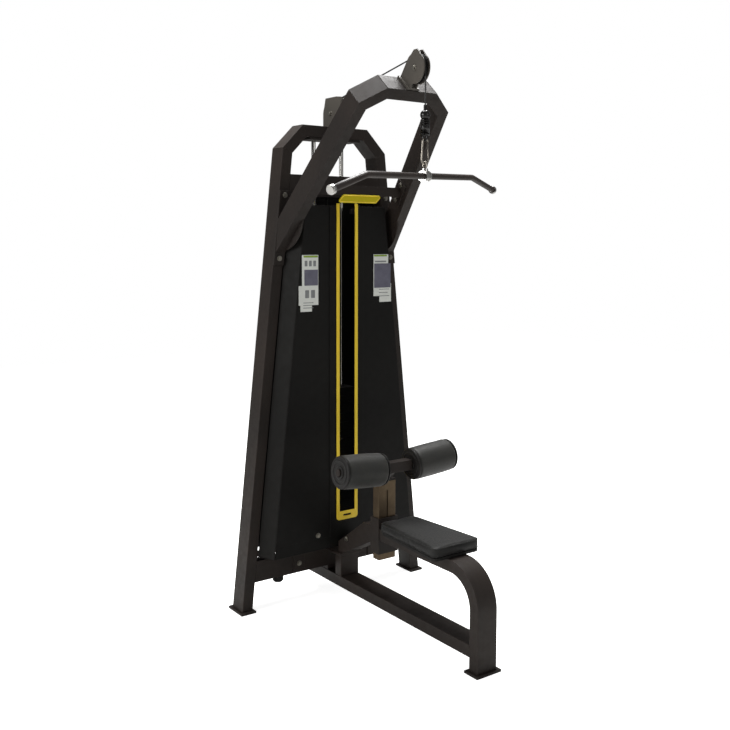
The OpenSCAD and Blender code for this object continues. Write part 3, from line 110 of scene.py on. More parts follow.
class Tree:
    """A material's node tree with its principled shader, and a short way to add nodes to it."""

    def __init__(self, name: str) -> None:
        """Makes an empty node material.

        Args:
            name: the material's name.
        """
        self.material = bpy.data.materials.new(name)
        self.material.use_nodes = True
        self.nodes = self.material.node_tree.nodes
        self.links = self.material.node_tree.links
        self.shader = self.nodes["Principled BSDF"]
        self.place = self.add("ShaderNodeTexCoord").outputs["Object"]

    def add(self, kind: str, inputs: Dict = None, **settings) -> bpy.types.Node:
        """Adds a node.

        Args:
            kind: the node's type.
            inputs: values or output sockets by input name or number.
            settings: the node's own properties.

        Returns:
            The new node.
        """
        node = self.nodes.new(kind)
        for key, value in settings.items():
            setattr(node, key, value)
        for key, value in (inputs or {}).items():
            if isinstance(value, bpy.types.NodeSocket):
                self.links.new(value, node.inputs[key])
            else:
                node.inputs[key].default_value = value
        return node

    def noise(self, size_mm: float, detail: float = 3.0, stretch: Vector = None) -> bpy.types.NodeSocket:
        """Adds a noise whose features are about size_mm across, drawn out along stretch.

        Args:
            size_mm: size of one feature.
            detail: octaves of finer noise.
            stretch: how many times longer the features are along x, y and z.

        Returns:
            The noise's value, around 0.5.
        """
        place = self.place
        if stretch:
            shrink = [1 / s for s in stretch]
            place = self.add("ShaderNodeMapping", {"Vector": place, "Scale": shrink}).outputs[0]
        inputs = {"Vector": place, "Scale": per_metre(size_mm), "Detail": detail}
        return self.add("ShaderNodeTexNoise", inputs).outputs["Fac"]

    def ramp(self, value: bpy.types.NodeSocket, low: float, high: float, to_low: float = 0.0,
             to_high: float = 1.0) -> bpy.types.NodeSocket:
        """Maps low..high of a value to to_low..to_high, held at both ends."""
        inputs = {"Value": value, "From Min": low, "From Max": high, "To Min": to_low, "To Max": to_high}
        return self.add("ShaderNodeMapRange", inputs).outputs[0]

    def mix(self, factor: bpy.types.NodeSocket, first, second) -> bpy.types.NodeSocket:
        """Mixes two colours, each a hex code or a socket."""
        ends = [linear(c) if isinstance(c, str) else c for c in (first, second)]
        inputs = {0: factor, 6: ends[0], 7: ends[1]}
        return self.add("ShaderNodeMix", inputs, data_type="RGBA").outputs[2]

    def bump(self, height: bpy.types.NodeSocket, depth_mm: float, strength: float = 1.0) -> None:
        """Adds a bump of depth_mm on top of what the shader's normal already holds."""
        inputs = {"Height": height, "Distance": depth_mm * MM, "Strength": strength}
        if self.shader.inputs["Normal"].is_linked:
            inputs["Normal"] = self.shader.inputs["Normal"].links[0].from_socket
        node = self.add("ShaderNodeBump", inputs)
        self.links.new(node.outputs[0], self.shader.inputs["Normal"])

    def into(self, socket: str, value) -> None:
        """Links a socket, or sets a plain value, on the shader."""
        if isinstance(value, bpy.types.NodeSocket):
            self.links.new(value, self.shader.inputs[socket])
        else:
            self.shader.inputs[socket].default_value = value


@dataclass(frozen=True)
class Finish:
    """A surface: its colour, gloss and the scale of what varies on it.

    Attributes:
        name: name of the real finish.
        color: main colour.
        drift: colour that the main one drifts to over drift_mm.
        rough: lowest and highest roughness.
        specular: specular level of a coat or plastic; metals keep the default.
    """

    name: str
    color: str
    drift: str
    drift_mm: float = 160.0
    rough: Tuple[float, float] = (0.45, 0.6)
    specular: float = 0.5

    def build(self) -> bpy.types.Material:
        """Returns the finished material."""
        tree = Tree(self.name)
        tree.into("Base Color", self.shade(tree))
        tree.into("Roughness", tree.ramp(tree.noise(self.drift_mm / 9), 0.3, 0.7, *self.rough))
        tree.into("Specular IOR Level", self.specular)
        self.texture(tree)
        return tree.material

    def shade(self, tree: Tree) -> bpy.types.NodeSocket:
        """Returns the colour, drifting slowly between two near tones."""
        return tree.mix(tree.ramp(tree.noise(self.drift_mm), 0.35, 0.65), self.color, self.drift)

    def texture(self, tree: Tree) -> None:
        """Adds the fine relief; a plain finish has none."""


@dataclass(frozen=True)
class PowderCoat(Finish):
    """Baked powder paint: a fine orange peel, with a painted highlight that lightens its edges in patches.

    Attributes:
        peel_mm: size of one dimple of the orange peel.
        peel_depth_mm: depth of the dimples.
        edge_highlight: colour of the painted highlight on the edges.
    """

    peel_mm: float = 1.1
    peel_depth_mm: float = 0.03
    # colour of the painted highlight on the edges
    edge_highlight: str = "#3a332e"

    def shade(self, tree: Tree) -> bpy.types.NodeSocket:
        """Returns the coat's colour, with a painted highlight lightening its edges in patches."""
        coat = super().shade(tree)
        flat = tree.add("ShaderNodeNewGeometry").outputs["Normal"]
        # painted highlight: where the bevelled normal turns from the face normal, the coat is mixed towards
        # the highlight colour, in noise patches
        eased = tree.add("ShaderNodeBevel", {"Radius": 2.5 * MM}, samples=6).outputs[0]
        turn = tree.add("ShaderNodeVectorMath", {0: flat, 1: eased}, operation="DOT_PRODUCT").outputs["Value"]
        edge = tree.ramp(turn, 0.995, 0.9)
        patches = tree.ramp(tree.noise(14, 4), 0.42, 0.68)
        highlit_edges = tree.add("ShaderNodeMath", {0: edge, 1: patches}, operation="MULTIPLY").outputs[0]
        return tree.mix(highlit_edges, coat, self.edge_highlight)

    def texture(self, tree: Tree) -> None:
        """Adds the orange peel of sprayed and baked paint."""
        tree.bump(tree.noise(self.peel_mm, 2), self.peel_depth_mm, 0.6)


@dataclass(frozen=True)
class Rubber(Finish):
    """Moulded rubber or plastic: a fine matt grain with a few dusty patches."""

    grain_mm: float = 0.7
    grain_depth_mm: float = 0.06

    def texture(self, tree: Tree) -> None:
        """Adds the mould's matt grain."""
        tree.bump(tree.noise(self.grain_mm, 3), self.grain_depth_mm, 0.8)


@dataclass(frozen=True)
class Vinyl(Finish):
    """Coated upholstery cloth: leather cells with creases between them, and a soft sheen."""

    cell_mm: float = 2.4
    cell_depth_mm: float = 0.16
    sheen: float = 0.1

    def texture(self, tree: Tree) -> None:
        """Adds the pressed leather grain, finer pores and the sheen of handled vinyl."""
        scale = {"Vector": tree.place, "Scale": per_metre(self.cell_mm)}
        cells = tree.add("ShaderNodeTexVoronoi", scale, feature="DISTANCE_TO_EDGE").outputs["Distance"]
        tree.bump(tree.ramp(cells, 0.0, 0.16), self.cell_depth_mm, 0.55)
        tree.bump(tree.noise(0.8, 2), 0.04, 0.5)
        tree.bump(tree.noise(70, 2), 0.8, 0.5)
        tree.into("Sheen Weight", self.sheen)
        tree.into("Sheen Roughness", 0.45)


@dataclass(frozen=True)
class Metal(Finish):
    """Bare or plated metal, drawn or brushed along one direction, with fine scratches.

    Attributes:
        grain: how many times longer the drawing marks are along x, y and z.
        marks_mm: width of one mark.
        marks_depth_mm: depth of the marks.
    """

    grain: Tuple[float, float, float] = (1.0, 1.0, 40.0)
    marks_mm: float = 0.5
    marks_depth_mm: float = 0.01

    def texture(self, tree: Tree) -> None:
        """Adds the drawing marks and makes the surface a metal."""
        tree.into("Metallic", 1.0)
        tree.bump(tree.noise(self.marks_mm, 3, Vector(self.grain)), self.marks_depth_mm, 0.6)


@dataclass(frozen=True)
class Jacket(Finish):
    """A cable's nylon jacket, with the twist of the strands just showing through."""

    lay_mm: float = 5.0

    def texture(self, tree: Tree) -> None:
        """Adds slanted waves for the strands, wrapped by the mesh's own length and angle values."""
        length = tree.add("ShaderNodeAttribute", attribute_name="along").outputs["Fac"]
        turn = tree.add("ShaderNodeAttribute", attribute_name="around").outputs["Fac"]
        steps = {0: length, 1: per_metre(self.lay_mm) * math.tau}
        wound = tree.add("ShaderNodeMath", steps, operation="MULTIPLY").outputs[0]
        angle = tree.add("ShaderNodeMath", {0: turn, 1: 6 * math.tau, 2: wound}, operation="MULTIPLY_ADD")
        wave = tree.add("ShaderNodeMath", {0: angle.outputs[0]}, operation="SINE").outputs[0]
        tree.bump(tree.ramp(wave, -1, 1), 0.12, 0.5)
        tree.into("Coat Weight", 0.3)
        tree.into("Coat Roughness", 0.2)


class Look(Enum):
    """Every finish on the machine, by the record's material slot."""

    # a powder coat's last colour, where given, is its painted edge highlight; FRAME_PAINT and BRACKET_PAINT
    # keep the default one
    # near-black brown powder coat that greys where light grazes it
    FRAME_PAINT = PowderCoat("Powder coat, black brown", "#241f1c", "#2c2521", 240, (0.5, 0.62), 0.22)
    # the shroud's flatter, cooler black
    SHROUD_PAINT = PowderCoat("Powder coat, sheet black", "#11100f", "#151412", 320, (0.52, 0.64), 0.14,
                              1.4, 0.02, "#211f1d")
    # moulded parts, matt with a faint grain
    BLACK_PLASTIC = Rubber("Moulded nylon, black", "#141211", "#191715", 60, (0.42, 0.55), 0.3)
    # rubber with a dusty bloom
    BLACK_RUBBER = Rubber("Moulded rubber, black", "#131211", "#1c1a18", 40, (0.6, 0.78), 0.25, 0.9, 0.06)
    # the weight ball's glossy moulding, which takes one crisp highlight
    BALL_GLOSS = Rubber("Moulded ball, gloss black", "#100f0e", "#161413", 50, (0.12, 0.2), 0.5, 1.2, 0.01)
    # the slot's bright border, a little chalky
    YELLOW_TRIM = PowderCoat("Powder coat, yellow", "#efcb32", "#f4d33c", 200, (0.4, 0.5), 0.35,
                             1.0, 0.02, "#e2c75a")
    # greener, deeper yellow of the bare name plate
    NAME_YELLOW = PowderCoat("Enamel, green yellow", "#c4b400", "#cbbb04", 90, (0.36, 0.46), 0.3,
                             1.2, 0.01, "#b9ae36")
    # laminated card, smooth with a slow ripple
    PLACARD_FILM = Finish("Laminated card, white", "#dadcd6", "#e0e2dc", 50, (0.32, 0.42), 0.35)
    # mirror plating with faint hand marks
    CHROME = Metal("Chrome plate", "#c9c8c5", "#d0cdc8", 60, (0.12, 0.2), 0.5, (1, 1, 20), 1.5, 0.0005)
    # turned steel of rods and the carabiner
    BARE_STEEL = Metal("Turned steel", "#a19b91", "#aea79c", 60, (0.28, 0.4), marks_depth_mm=0.003)
    # the knee column's warm satin plate, drawn along its length
    COLUMN_STEEL = Metal("Satin nickel plate", "#5c4f40", "#695b49", 70, (0.46, 0.58), 0.5, (1, 1, 60), 0.6,
                         0.004)
    # passivated bolt heads
    ZINC_BOLT = Metal("Zinc plate", "#7d7a73", "#8a867c", 12, (0.34, 0.48), 0.5, (1, 1, 1), 0.8, 0.004)
    # cast plates under thin paint
    STACK_PAINT = PowderCoat("Casting paint, black", "#0f0e0e", "#171615", 90, (0.5, 0.65), 0.25, 2.2, 0.08,
                             "#1f1d1b")
    # the cable's smooth nylon, with a thin gloss over the strands
    CABLE_JACKET = Jacket("Nylon cable jacket", "#121110", "#1b1917", 60, (0.3, 0.42), 0.4)
    # the pulley plates' greyer coat
    BRACKET_PAINT = PowderCoat("Powder coat, grey", "#4a4640", "#534e47", 120, (0.4, 0.52), 0.4)
    # seat vinyl with pressed grain, paler where it faces up
    SEAT_VINYL = Vinyl("Upholstery vinyl, black", "#121210", "#171614", 90, (0.48, 0.6), 0.3)
    # the rollers' tighter skin
    ROLLER_FOAM = Vinyl("Roller vinyl, black", "#20201d", "#272622", 70, (0.48, 0.6), 0.4, 1.6, 0.06, 0.15)
    # the bar's dipped grip coat
    BAR_SLEEVE = Rubber("Dipped bar coat", "#2a221e", "#332a25", 80, (0.42, 0.55), 0.4, 1.3, 0.03)
    # printed colours, each flat ink under the same film
    INK_GREEN = Finish("Screen ink, green", "#7f9a3a", "#8aa544", 30, (0.3, 0.4), 0.3)
    INK_SLATE = Finish("Screen ink, slate", "#62616f", "#6b6a78", 30, (0.3, 0.4), 0.3)
    INK_GREY = Finish("Screen ink, grey", "#7d7f80", "#888a8a", 30, (0.3, 0.4), 0.3)
    # sewing thread, dull black
    THREAD = Rubber("Sewing thread, black", "#171614", "#22201d", 20, (0.7, 0.8), 0.2, 0.3, 0.03)


class Paintbox:
    """Builds each finish once and hands it out."""

    def __init__(self) -> None:
        """Starts with no material made."""
        self.made: Dict[Look, bpy.types.Material] = {}

    def get(self, look: Look) -> bpy.types.Material:
        """Returns the material of a look, building it the first time."""
        if look not in self.made:
            self.made[look] = look.value.build()
        return self.made[look]


PAINTS = Paintbox()


# ---- mesh helpers -------------------------------------------------------------------------------


def mesh_object(name: str, verts: Iterable[Vector], faces: Iterable[Sequence[int]],
                look: Look) -> bpy.types.Object:
    """Makes a smooth-shaded object at the origin with outward normals.

    Args:
        name: the piece's name.
        verts: its vertices in the row's frame.
        faces: vertex numbers of each face.
        look: its finish.

    Returns:
        The linked object.
    """
    mesh = bpy.data.meshes.new(name)
    mesh.from_pydata([tuple(v) for v in verts], [], [tuple(f) for f in faces])
    work = bmesh.new()
    work.from_mesh(mesh)
    bmesh.ops.remove_doubles(work, verts=work.verts, dist=1e-7)
    bmesh.ops.recalc_face_normals(work, faces=work.faces)
    work.to_mesh(mesh)
    work.free()
    mesh.polygons.foreach_set("use_smooth", [True] * len(mesh.polygons))
    mesh.materials.append(PAINTS.get(look))
    obj = bpy.data.objects.new(name, mesh)
    bpy.context.scene.collection.objects.link(obj)
    return obj


def keep_edges(obj: bpy.types.Object, angle: float = 35.0) -> None:
    """Marks edges sharper than an angle, so that smooth shading stops at them."""
    work = bmesh.new()
    work.from_mesh(obj.data)
    for edge in work.edges:
        edge.smooth = edge.calc_face_angle(0) < math.radians(angle)
    work.to_mesh(obj.data)
    work.free()


def axes_along(axis: Vector) -> Matrix:
    """Returns a rotation whose third column is the axis."""
    return axis.normalized().to_track_quat("Z", "Y").to_matrix()


def lathe(name: str, profile: Profile, origin: Vector, axis: Vector, look: Look, steps: int = 96,
          wobble: Callable[[Vector], float] = None) -> bpy.types.Object:
    """Turns a closed profile about an axis.

    Args:
        name: the piece's name.
        profile: (radius, distance along the axis) points of a closed outline.
        origin: point at distance 0.
        axis: direction of the axis.
        look: its finish.
        steps: copies of the profile round the axis.
        wobble: extra radius at a point, or None.

    Returns:
        The piece.
    """
    turn = axes_along(axis)
    verts: List[Vector] = []
    for i in range(steps):
        angle = math.tau * i / steps
        out = turn @ Vector((math.cos(angle), math.sin(angle), 0))
        for radius, along in profile:
            place = origin + turn @ Vector((0, 0, along)) + out * radius
            extra = wobble(place) if wobble and radius > 0 else 0.0
            verts.append(place + out * extra)
    count = len(profile)
    faces = []
    for i in range(steps):
        for k in range(count):
            here, there = i * count, ((i + 1) % steps) * count
            after = (k + 1) % count
            faces.append((here + k, here + after, there + after, there + k))
    return clean(mesh_object(name, verts, faces, look))


def clean(obj: bpy.types.Object) -> bpy.types.Object:
    """Drops faces with no area, such as a turned profile's on its axis, and turns normals outward."""
    work = bmesh.new()
    work.from_mesh(obj.data)
    bmesh.ops.dissolve_degenerate(work, dist=1e-7, edges=work.edges)
    bmesh.ops.recalc_face_normals(work, faces=work.faces)
    work.to_mesh(obj.data)
    work.free()
    return obj


def sweep(name: str, path: Sequence[Vector], radius: float, look: Look, sides: int = 20,
          closed: bool = False) -> bpy.types.Object:
    """Runs a round section along a path, and stores how far along and around each point is.

    Args:
        name: the piece's name.
        path: points of the centre line.
        radius: radius of the section.
        look: its finish.
        sides: corners of the section.
        closed: True if the path returns to its start.

    Returns:
        The piece, with capped ends unless closed.
    """
    count = len(path)
    verts: List[Vector] = []
    along: List[float] = []
    around: List[float] = []
    side = None
    run = 0.0
    for i, point in enumerate(path):
        before = path[i - 1] if closed or i else path[0]
        after = path[(i + 1) % count] if closed or i < count - 1 else path[-1]
        heading = (after - before).normalized()
        if side is None:
            side = heading.orthogonal().normalized()
        side = (side - heading * side.dot(heading)).normalized()
        other = heading.cross(side)
        run += (point - path[i - 1]).length if i else 0.0
        for k in range(sides):
            angle = math.tau * k / sides
            verts.append(point + radius * (side * math.cos(angle) + other * math.sin(angle)))
            along.append(run)
            around.append(k / sides)
    faces: List[Sequence[int]] = []
    for i in range(count if closed else count - 1):
        for k in range(sides):
            here, there = i * sides, ((i + 1) % count) * sides
            faces.append((here + k, here + (k + 1) % sides, there + (k + 1) % sides, there + k))
    if not closed:
        faces.append(tuple(range(sides)))
        faces.append(tuple((count - 1) * sides + k for k in reversed(range(sides))))
    obj = mesh_object(name, verts, faces, look)
    if len(obj.data.vertices) == len(along):
        for title, values in (("along", along), ("around", around)):
            attribute = obj.data.attributes.new(title, "FLOAT", "POINT")
            attribute.data.foreach_set("value", values)
    return obj


def rounded_outline(corners: Sequence[Vector], radius: float, steps: int = 8) -> List[Vector]:
    """Rounds the corners of a convex outline with arcs.

    Args:
        corners: the outline's corners in order.
        radius: radius of each arc.
        steps: points on each arc.

    Returns:
        The rounded outline.
    """
    out: List[Vector] = []
    for i, corner in enumerate(corners):
        back = (corners[i - 1] - corner).normalized()
        on = (corners[(i + 1) % len(corners)] - corner).normalized()
        half = back.angle(on) / 2
        centre = corner + (back + on).normalized() * radius / math.sin(half)
        start = corner + back * radius / math.tan(half) - centre
        end = corner + on * radius / math.tan(half) - centre
        out += [centre + start.normalized().slerp(end.normalized(), k / steps) * radius
                for k in range(steps + 1)]
    return out


class BeadRow:
    """Geometry nodes that set one bead after another along a path: weld ripples or stitches."""

    def __init__(self) -> None:
        """Builds the node group and notes its sockets' identifiers."""
        group = bpy.data.node_groups.new("Beads along a path", "GeometryNodeTree")
        face = group.interface
        face.new_socket("Geometry", in_out="OUTPUT", socket_type="NodeSocketGeometry")
        face.new_socket("Geometry", in_out="INPUT", socket_type="NodeSocketGeometry")
        self.sockets = {}
        for title, kind in (("Spacing", "Float"), ("Bead", "Vector"), ("Jitter", "Float"),
                            ("Seed", "Int"), ("Finish", "Material")):
            socket = face.new_socket(title, in_out="INPUT", socket_type="NodeSocket" + kind)
            self.sockets[title] = socket.identifier
        nodes, links = group.nodes, group.links
        given = nodes.new("NodeGroupInput")
        result = nodes.new("NodeGroupOutput")
        curve = nodes.new("GeometryNodeMeshToCurve")
        resample = nodes.new("GeometryNodeResampleCurve")
        resample.mode = "LENGTH"
        heading = nodes.new("GeometryNodeInputTangent")
        align = nodes.new("FunctionNodeAlignRotationToVector")
        align.axis = "Z"
        ball = nodes.new("GeometryNodeMeshIcoSphere")
        ball.inputs["Radius"].default_value = 1.0
        ball.inputs["Subdivisions"].default_value = 2
        random = nodes.new("FunctionNodeRandomValue")
        low = nodes.new("ShaderNodeMath")
        low.operation = "SUBTRACT"
        low.inputs[0].default_value = 1.0
        high = nodes.new("ShaderNodeMath")
        high.operation = "ADD"
        high.inputs[0].default_value = 1.0
        size = nodes.new("ShaderNodeVectorMath")
        size.operation = "SCALE"
        place = nodes.new("GeometryNodeInstanceOnPoints")
        real = nodes.new("GeometryNodeRealizeInstances")
        smooth = nodes.new("GeometryNodeSetShadeSmooth")
        paint = nodes.new("GeometryNodeSetMaterial")
        for start, end in (
            (given.outputs["Geometry"], curve.inputs[0]),
            (curve.outputs[0], resample.inputs["Curve"]),
            (given.outputs["Spacing"], resample.inputs["Length"]),
            (heading.outputs[0], align.inputs["Vector"]),
            (given.outputs["Jitter"], low.inputs[1]),
            (given.outputs["Jitter"], high.inputs[1]),
            (low.outputs[0], random.inputs[2]),
            (high.outputs[0], random.inputs[3]),
            (given.outputs["Seed"], random.inputs["Seed"]),
            (given.outputs["Bead"], size.inputs[0]),
            (random.outputs[1], size.inputs["Scale"]),
            (resample.outputs[0], place.inputs["Points"]),
            (ball.outputs["Mesh"], place.inputs["Instance"]),
            (align.outputs[0], place.inputs["Rotation"]),
            (size.outputs[0], place.inputs["Scale"]),
            (place.outputs[0], real.inputs[0]),
            (real.outputs[0], smooth.inputs[0]),
            (smooth.outputs[0], paint.inputs["Geometry"]),
            (given.outputs["Finish"], paint.inputs["Material"]),
            (paint.outputs[0], result.inputs[0]),
        ):
            links.new(start, end)
        self.group = group

    def run(self, name: str, paths: Sequence[Sequence[Vector]], spacing: float, bead: Vector, look: Look,
            jitter: float = 0.1, seed: int = 1) -> bpy.types.Object:
        """Sets beads along closed paths and returns them as one plain mesh.

        Args:
            name: the piece's name.
            paths: closed centre lines.
            spacing: distance from bead to bead.
            bead: half sizes across, across and along the path.
            look: the beads' finish.
            jitter: share by which the beads differ in size.
            seed: seed of those differences.

        Returns:
            The piece.
        """
        mesh = bpy.data.meshes.new(name)
        verts: List[Tuple[float, float, float]] = []
        edges: List[Tuple[int, int]] = []
        for path in paths:
            first = len(verts)
            verts += [tuple(p) for p in path]
            edges += [(first + i, first + (i + 1) % len(path)) for i in range(len(path))]
        mesh.from_pydata(verts, edges, [])
        base = bpy.data.objects.new(name + "_path", mesh)
        bpy.context.scene.collection.objects.link(base)
        modifier = base.modifiers.new("Beads", "NODES")
        modifier.node_group = self.group
        for title, value in (("Spacing", spacing), ("Bead", tuple(bead)), ("Jitter", jitter),
                             ("Seed", seed), ("Finish", PAINTS.get(look))):
            modifier[self.sockets[title]] = value
        base.update_tag()
        bpy.context.view_layer.update()
        shown = base.evaluated_get(bpy.context.evaluated_depsgraph_get())
        plain = bpy.data.meshes.new_from_object(shown)
        obj = bpy.data.objects.new(name, plain)
        bpy.context.scene.collection.objects.link(obj)
        bpy.data.objects.remove(base)
        return obj


def settle(obj: bpy.types.Object, body: str, slot: str, *nodes: str) -> bpy.types.Object:
    """Makes a piece ride on a body, and lets it stand for CAD nodes.

    Args:
        obj: the piece.
        body: the body that it moves with.
        slot: the record's material slot; not used.
        nodes: CAD nodes that it replaces.

    Returns:
        The same piece.
    """
    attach(obj, body)
    if nodes:
        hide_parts(*nodes)
    LOG.info("%s rides on %s", obj.name, body)
    return obj


# ---- the CAD nodes' finish ----------------------------------------------------------------------


@dataclass(frozen=True)
class Dressing:
    """How a group of CAD nodes is finished.

    Attributes:
        look: their finish.
        round_mm: radius that their sharp edges are eased to.
        nodes: their names.
    """

    look: Look
    round_mm: float
    nodes: Tuple[str, ...]

    def apply(self) -> None:
        """Gives each node its material, and eases its edges with modifiers."""
        for name in self.nodes:
            obj = frame["nodes"][name]
            mesh = obj.data
            mesh.materials.clear()
            mesh.materials.append(PAINTS.get(self.look))
            mesh.polygons.foreach_set("use_smooth", [True] * len(mesh.polygons))
            mesh.polygons.foreach_set("material_index", [0] * len(mesh.polygons))
            weld = obj.modifiers.new("Join triangles", "WELD")
            weld.merge_threshold = 0.01 * MM
            flat = obj.modifiers.new("Flat faces", "DECIMATE")
            flat.decimate_type = "DISSOLVE"
            flat.angle_limit = math.radians(0.5)
            if self.round_mm:
                ease = obj.modifiers.new("Eased edges", "BEVEL")
                ease.width = self.round_mm * MM
                ease.segments = 3
                ease.limit_method = "ANGLE"
                ease.angle_limit = math.radians(32)
                ease.use_clamp_overlap = True
                ease.harden_normals = False
            normals = obj.modifiers.new("Face normals", "WEIGHTED_NORMAL")
            normals.keep_sharp = False
            normals.weight = 80


DRESSINGS = (
    Dressing(Look.FRAME_PAINT, 3.0, (
        "left_upright", "right_upright", "left_shoulder", "right_shoulder", "crown_beam",
        "upper_cross_beam", "lower_cross_beam", "base_beam", "base_saddle", "front_leg", "seat_post",
        "column_sleeve", "left_boom_leg", "right_boom_leg", "left_boom_corner", "right_boom_corner",
        "boom_crown", "knee_head")),
    Dressing(Look.FRAME_PAINT, 1.2, ("foot_plates", "boom_mounts", "boom_cross_tube", "rod_head_plate",
                                     "stack_base_plate", "shroud_rails")),
    Dressing(Look.SHROUD_PAINT, 0.5, ("shroud_face", "shroud_left_wall", "shroud_right_wall",
                                      "rear_cover")),
    Dressing(Look.BRACKET_PAINT, 0.9, ("front_pulley_bracket", "rear_pulley_bracket")),
    Dressing(Look.YELLOW_TRIM, 1.2, ("slot_trim",)),
    Dressing(Look.NAME_YELLOW, 1.5, ("name_plate",)),
    Dressing(Look.PLACARD_FILM, 0.4, ("placards",)),
    Dressing(Look.STACK_PAINT, 1.5, ("resting_plates", "lifting_plates", "selector_head")),
    Dressing(Look.CHROME, 0.4, ("guide_rods", "selector_pin", "bar_fittings")),
    Dressing(Look.BARE_STEEL, 0.0, ("carabiner", "carabiner_gate", "swivel_eye")),
    Dressing(Look.COLUMN_STEEL, 1.5, ("knee_column",)),
    Dressing(Look.ZINC_BOLT, 0.7, ("frame_bolts", "pulley_axles")),
    Dressing(Look.BLACK_RUBBER, 1.2, ("rubber_bumpers", "seat_board")),
    Dressing(Look.BALL_GLOSS, 0.0, ("cable_stop",)),
    Dressing(Look.BLACK_PLASTIC, 0.8, ("front_pulley", "rear_pulley", "clamp_knob", "left_roller_core",
                                       "right_roller_core")),
    Dressing(Look.BAR_SLEEVE, 0.0, ("lat_bar",)),
    Dressing(Look.CABLE_JACKET, 0.0, ("fixed_cable",)),
)


# ---- seat ---------------------------------------------------------------------------------------


@dataclass
class SeatCushion:
    """A boxed vinyl cushion: a crowned top, a welt round it, and a row of stitches inside that.

    Attributes:
        corner: radius of its corners in plan.
        slack: how much smaller the pad starts than the CAD solid, to leave room for its swelling.
        cap: furthest that a point may swell.
        crown: furthest that the top may rise over the CAD solid.
        pressure: how hard the filling pushes.
        voxel: size of the cloth's cells.
        welt: radius of the piping.
        seam: distance of the stitches inside the cushion's edge.
    """

    corner: float = 0.026
    slack: float = 0.003
    cap: float = 0.0025
    crown: float = 0.004
    pressure: float = 1.0
    voxel: float = 0.005
    welt: float = 0.0019
    seam: float = 0.013

    def outline(self, inset: float, z: float) -> List[Vector]:
        """Returns the plan of the cushion, narrower at the back, at one height.

        Args:
            inset: distance inside the CAD solid's plan.
            z: height.

        Returns:
            Points of the rounded outline.
        """
        low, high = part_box("seat_cushion")
        points = [v.co for v in frame["nodes"]["seat_cushion"].data.vertices]
        back = max(abs(p.x) for p in points if p.y > high.y - 1 * MM) + self.corner * 0.9
        front = high.x
        corners = [Vector((-front + inset, low.y + inset, z)), Vector((front - inset, low.y + inset, z)),
                   Vector((back - inset, high.y - inset, z)), Vector((-back + inset, high.y - inset, z))]
        return rounded_outline(corners, self.corner - inset / 2)

    def pad(self) -> bpy.types.Object:
        """Builds the pad before it swells: rings from the board up over the crown."""
        low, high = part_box("seat_cushion")
        top = high.z - 1.6 * self.slack
        rings = [self.outline(0.006, low.z), self.outline(self.slack, low.z + 0.005),
                 self.outline(self.slack, top - 0.004), self.outline(0.0045, top - 0.0008),
                 self.outline(0.008, top), self.outline(0.03, top + 0.0012),
                 self.outline(0.06, top + 0.002)]
        count = len(rings[0])
        verts = [p for ring in rings for p in ring]
        faces: List[Sequence[int]] = [tuple(reversed(range(count)))]
        for level in range(len(rings) - 1):
            here, there = level * count, (level + 1) * count
            faces += [(here + k, here + (k + 1) % count, there + (k + 1) % count, there + k)
                      for k in range(count)]
        faces.append(tuple((len(rings) - 1) * count + k for k in range(count)))
        return mesh_object("seat_pad", verts, faces, Look.SEAT_VINYL)

    def swell(self, pad: bpy.types.Object) -> None:
        """Fills the pad like a cushion with a short cloth simulation, and keeps it in its place."""
        remesh = pad.modifiers.new("Cells", "REMESH")
        remesh.mode = "VOXEL"
        remesh.voxel_size = self.voxel
        remesh.use_smooth_shade = True
        apply_modifiers(pad)
        before = [v.co.copy() for v in pad.data.vertices]
        cloth = pad.modifiers.new("Swelling", "CLOTH")
        cloth.settings.use_pressure = True
        cloth.settings.uniform_pressure_force = self.pressure
        cloth.settings.effector_weights.gravity = 0.0
        scene = bpy.context.scene
        for step in range(1, 21):
            scene.frame_set(step)
        apply_modifiers(pad)
        scene.frame_set(1)
        low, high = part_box("seat_cushion")
        for vertex, start in zip(pad.data.vertices, before):
            move = vertex.co - start
            if move.length > self.cap:
                move *= self.cap / move.length
            place = start + move
            place.z = min(max(place.z, low.z), high.z + self.crown)
            vertex.co = place
        smooth = pad.modifiers.new("Finer", "SUBSURF")
        smooth.levels = smooth.render_levels = 1
        apply_modifiers(pad)
        pad.data.polygons.foreach_set("use_smooth", [True] * len(pad.data.polygons))

    def build(self, beads: BeadRow) -> None:
        """Builds the pad, its welts and its stitches."""
        pad = self.pad()
        self.swell(pad)
        settle(pad, "frame", "seat_vinyl", "seat_cushion")
        low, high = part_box("seat_cushion")
        surface = BVHTree.FromObject(pad, bpy.context.evaluated_depsgraph_get())
        for title, inset, z in (("seat_welt_top", 0.0025, high.z - 0.0068),
                                ("seat_welt_low", 0.0025, low.z + 0.0055)):
            path = [surface.find_nearest(p)[0] for p in self.outline(inset, z)]
            settle(sweep(title, path, self.welt, Look.SEAT_VINYL, 10, closed=True), "frame", "seat_vinyl")
        seam = []
        for point in self.outline(self.seam, high.z):
            hit = surface.ray_cast(point + Vector((0, 0, 0.05)), Vector((0, 0, -1)))[0]
            seam.append(hit if hit else point)
        stitches = beads.run("seat_stitches", [seam], 0.0052, Vector((0.0005, 0.0005, 0.0019)),
                             Look.THREAD, 0.06, 7)
        settle(stitches, "frame", "seat_vinyl")


def apply_modifiers(obj: bpy.types.Object) -> None:
    """Bakes an object's modifiers into its mesh and removes them."""
    bpy.context.view_layer.update()
    shown = obj.evaluated_get(bpy.context.evaluated_depsgraph_get())
    baked = bpy.data.meshes.new_from_object(shown)
    obj.modifiers.clear()
    obj.data = baked


# ---- knee rollers -------------------------------------------------------------------------------


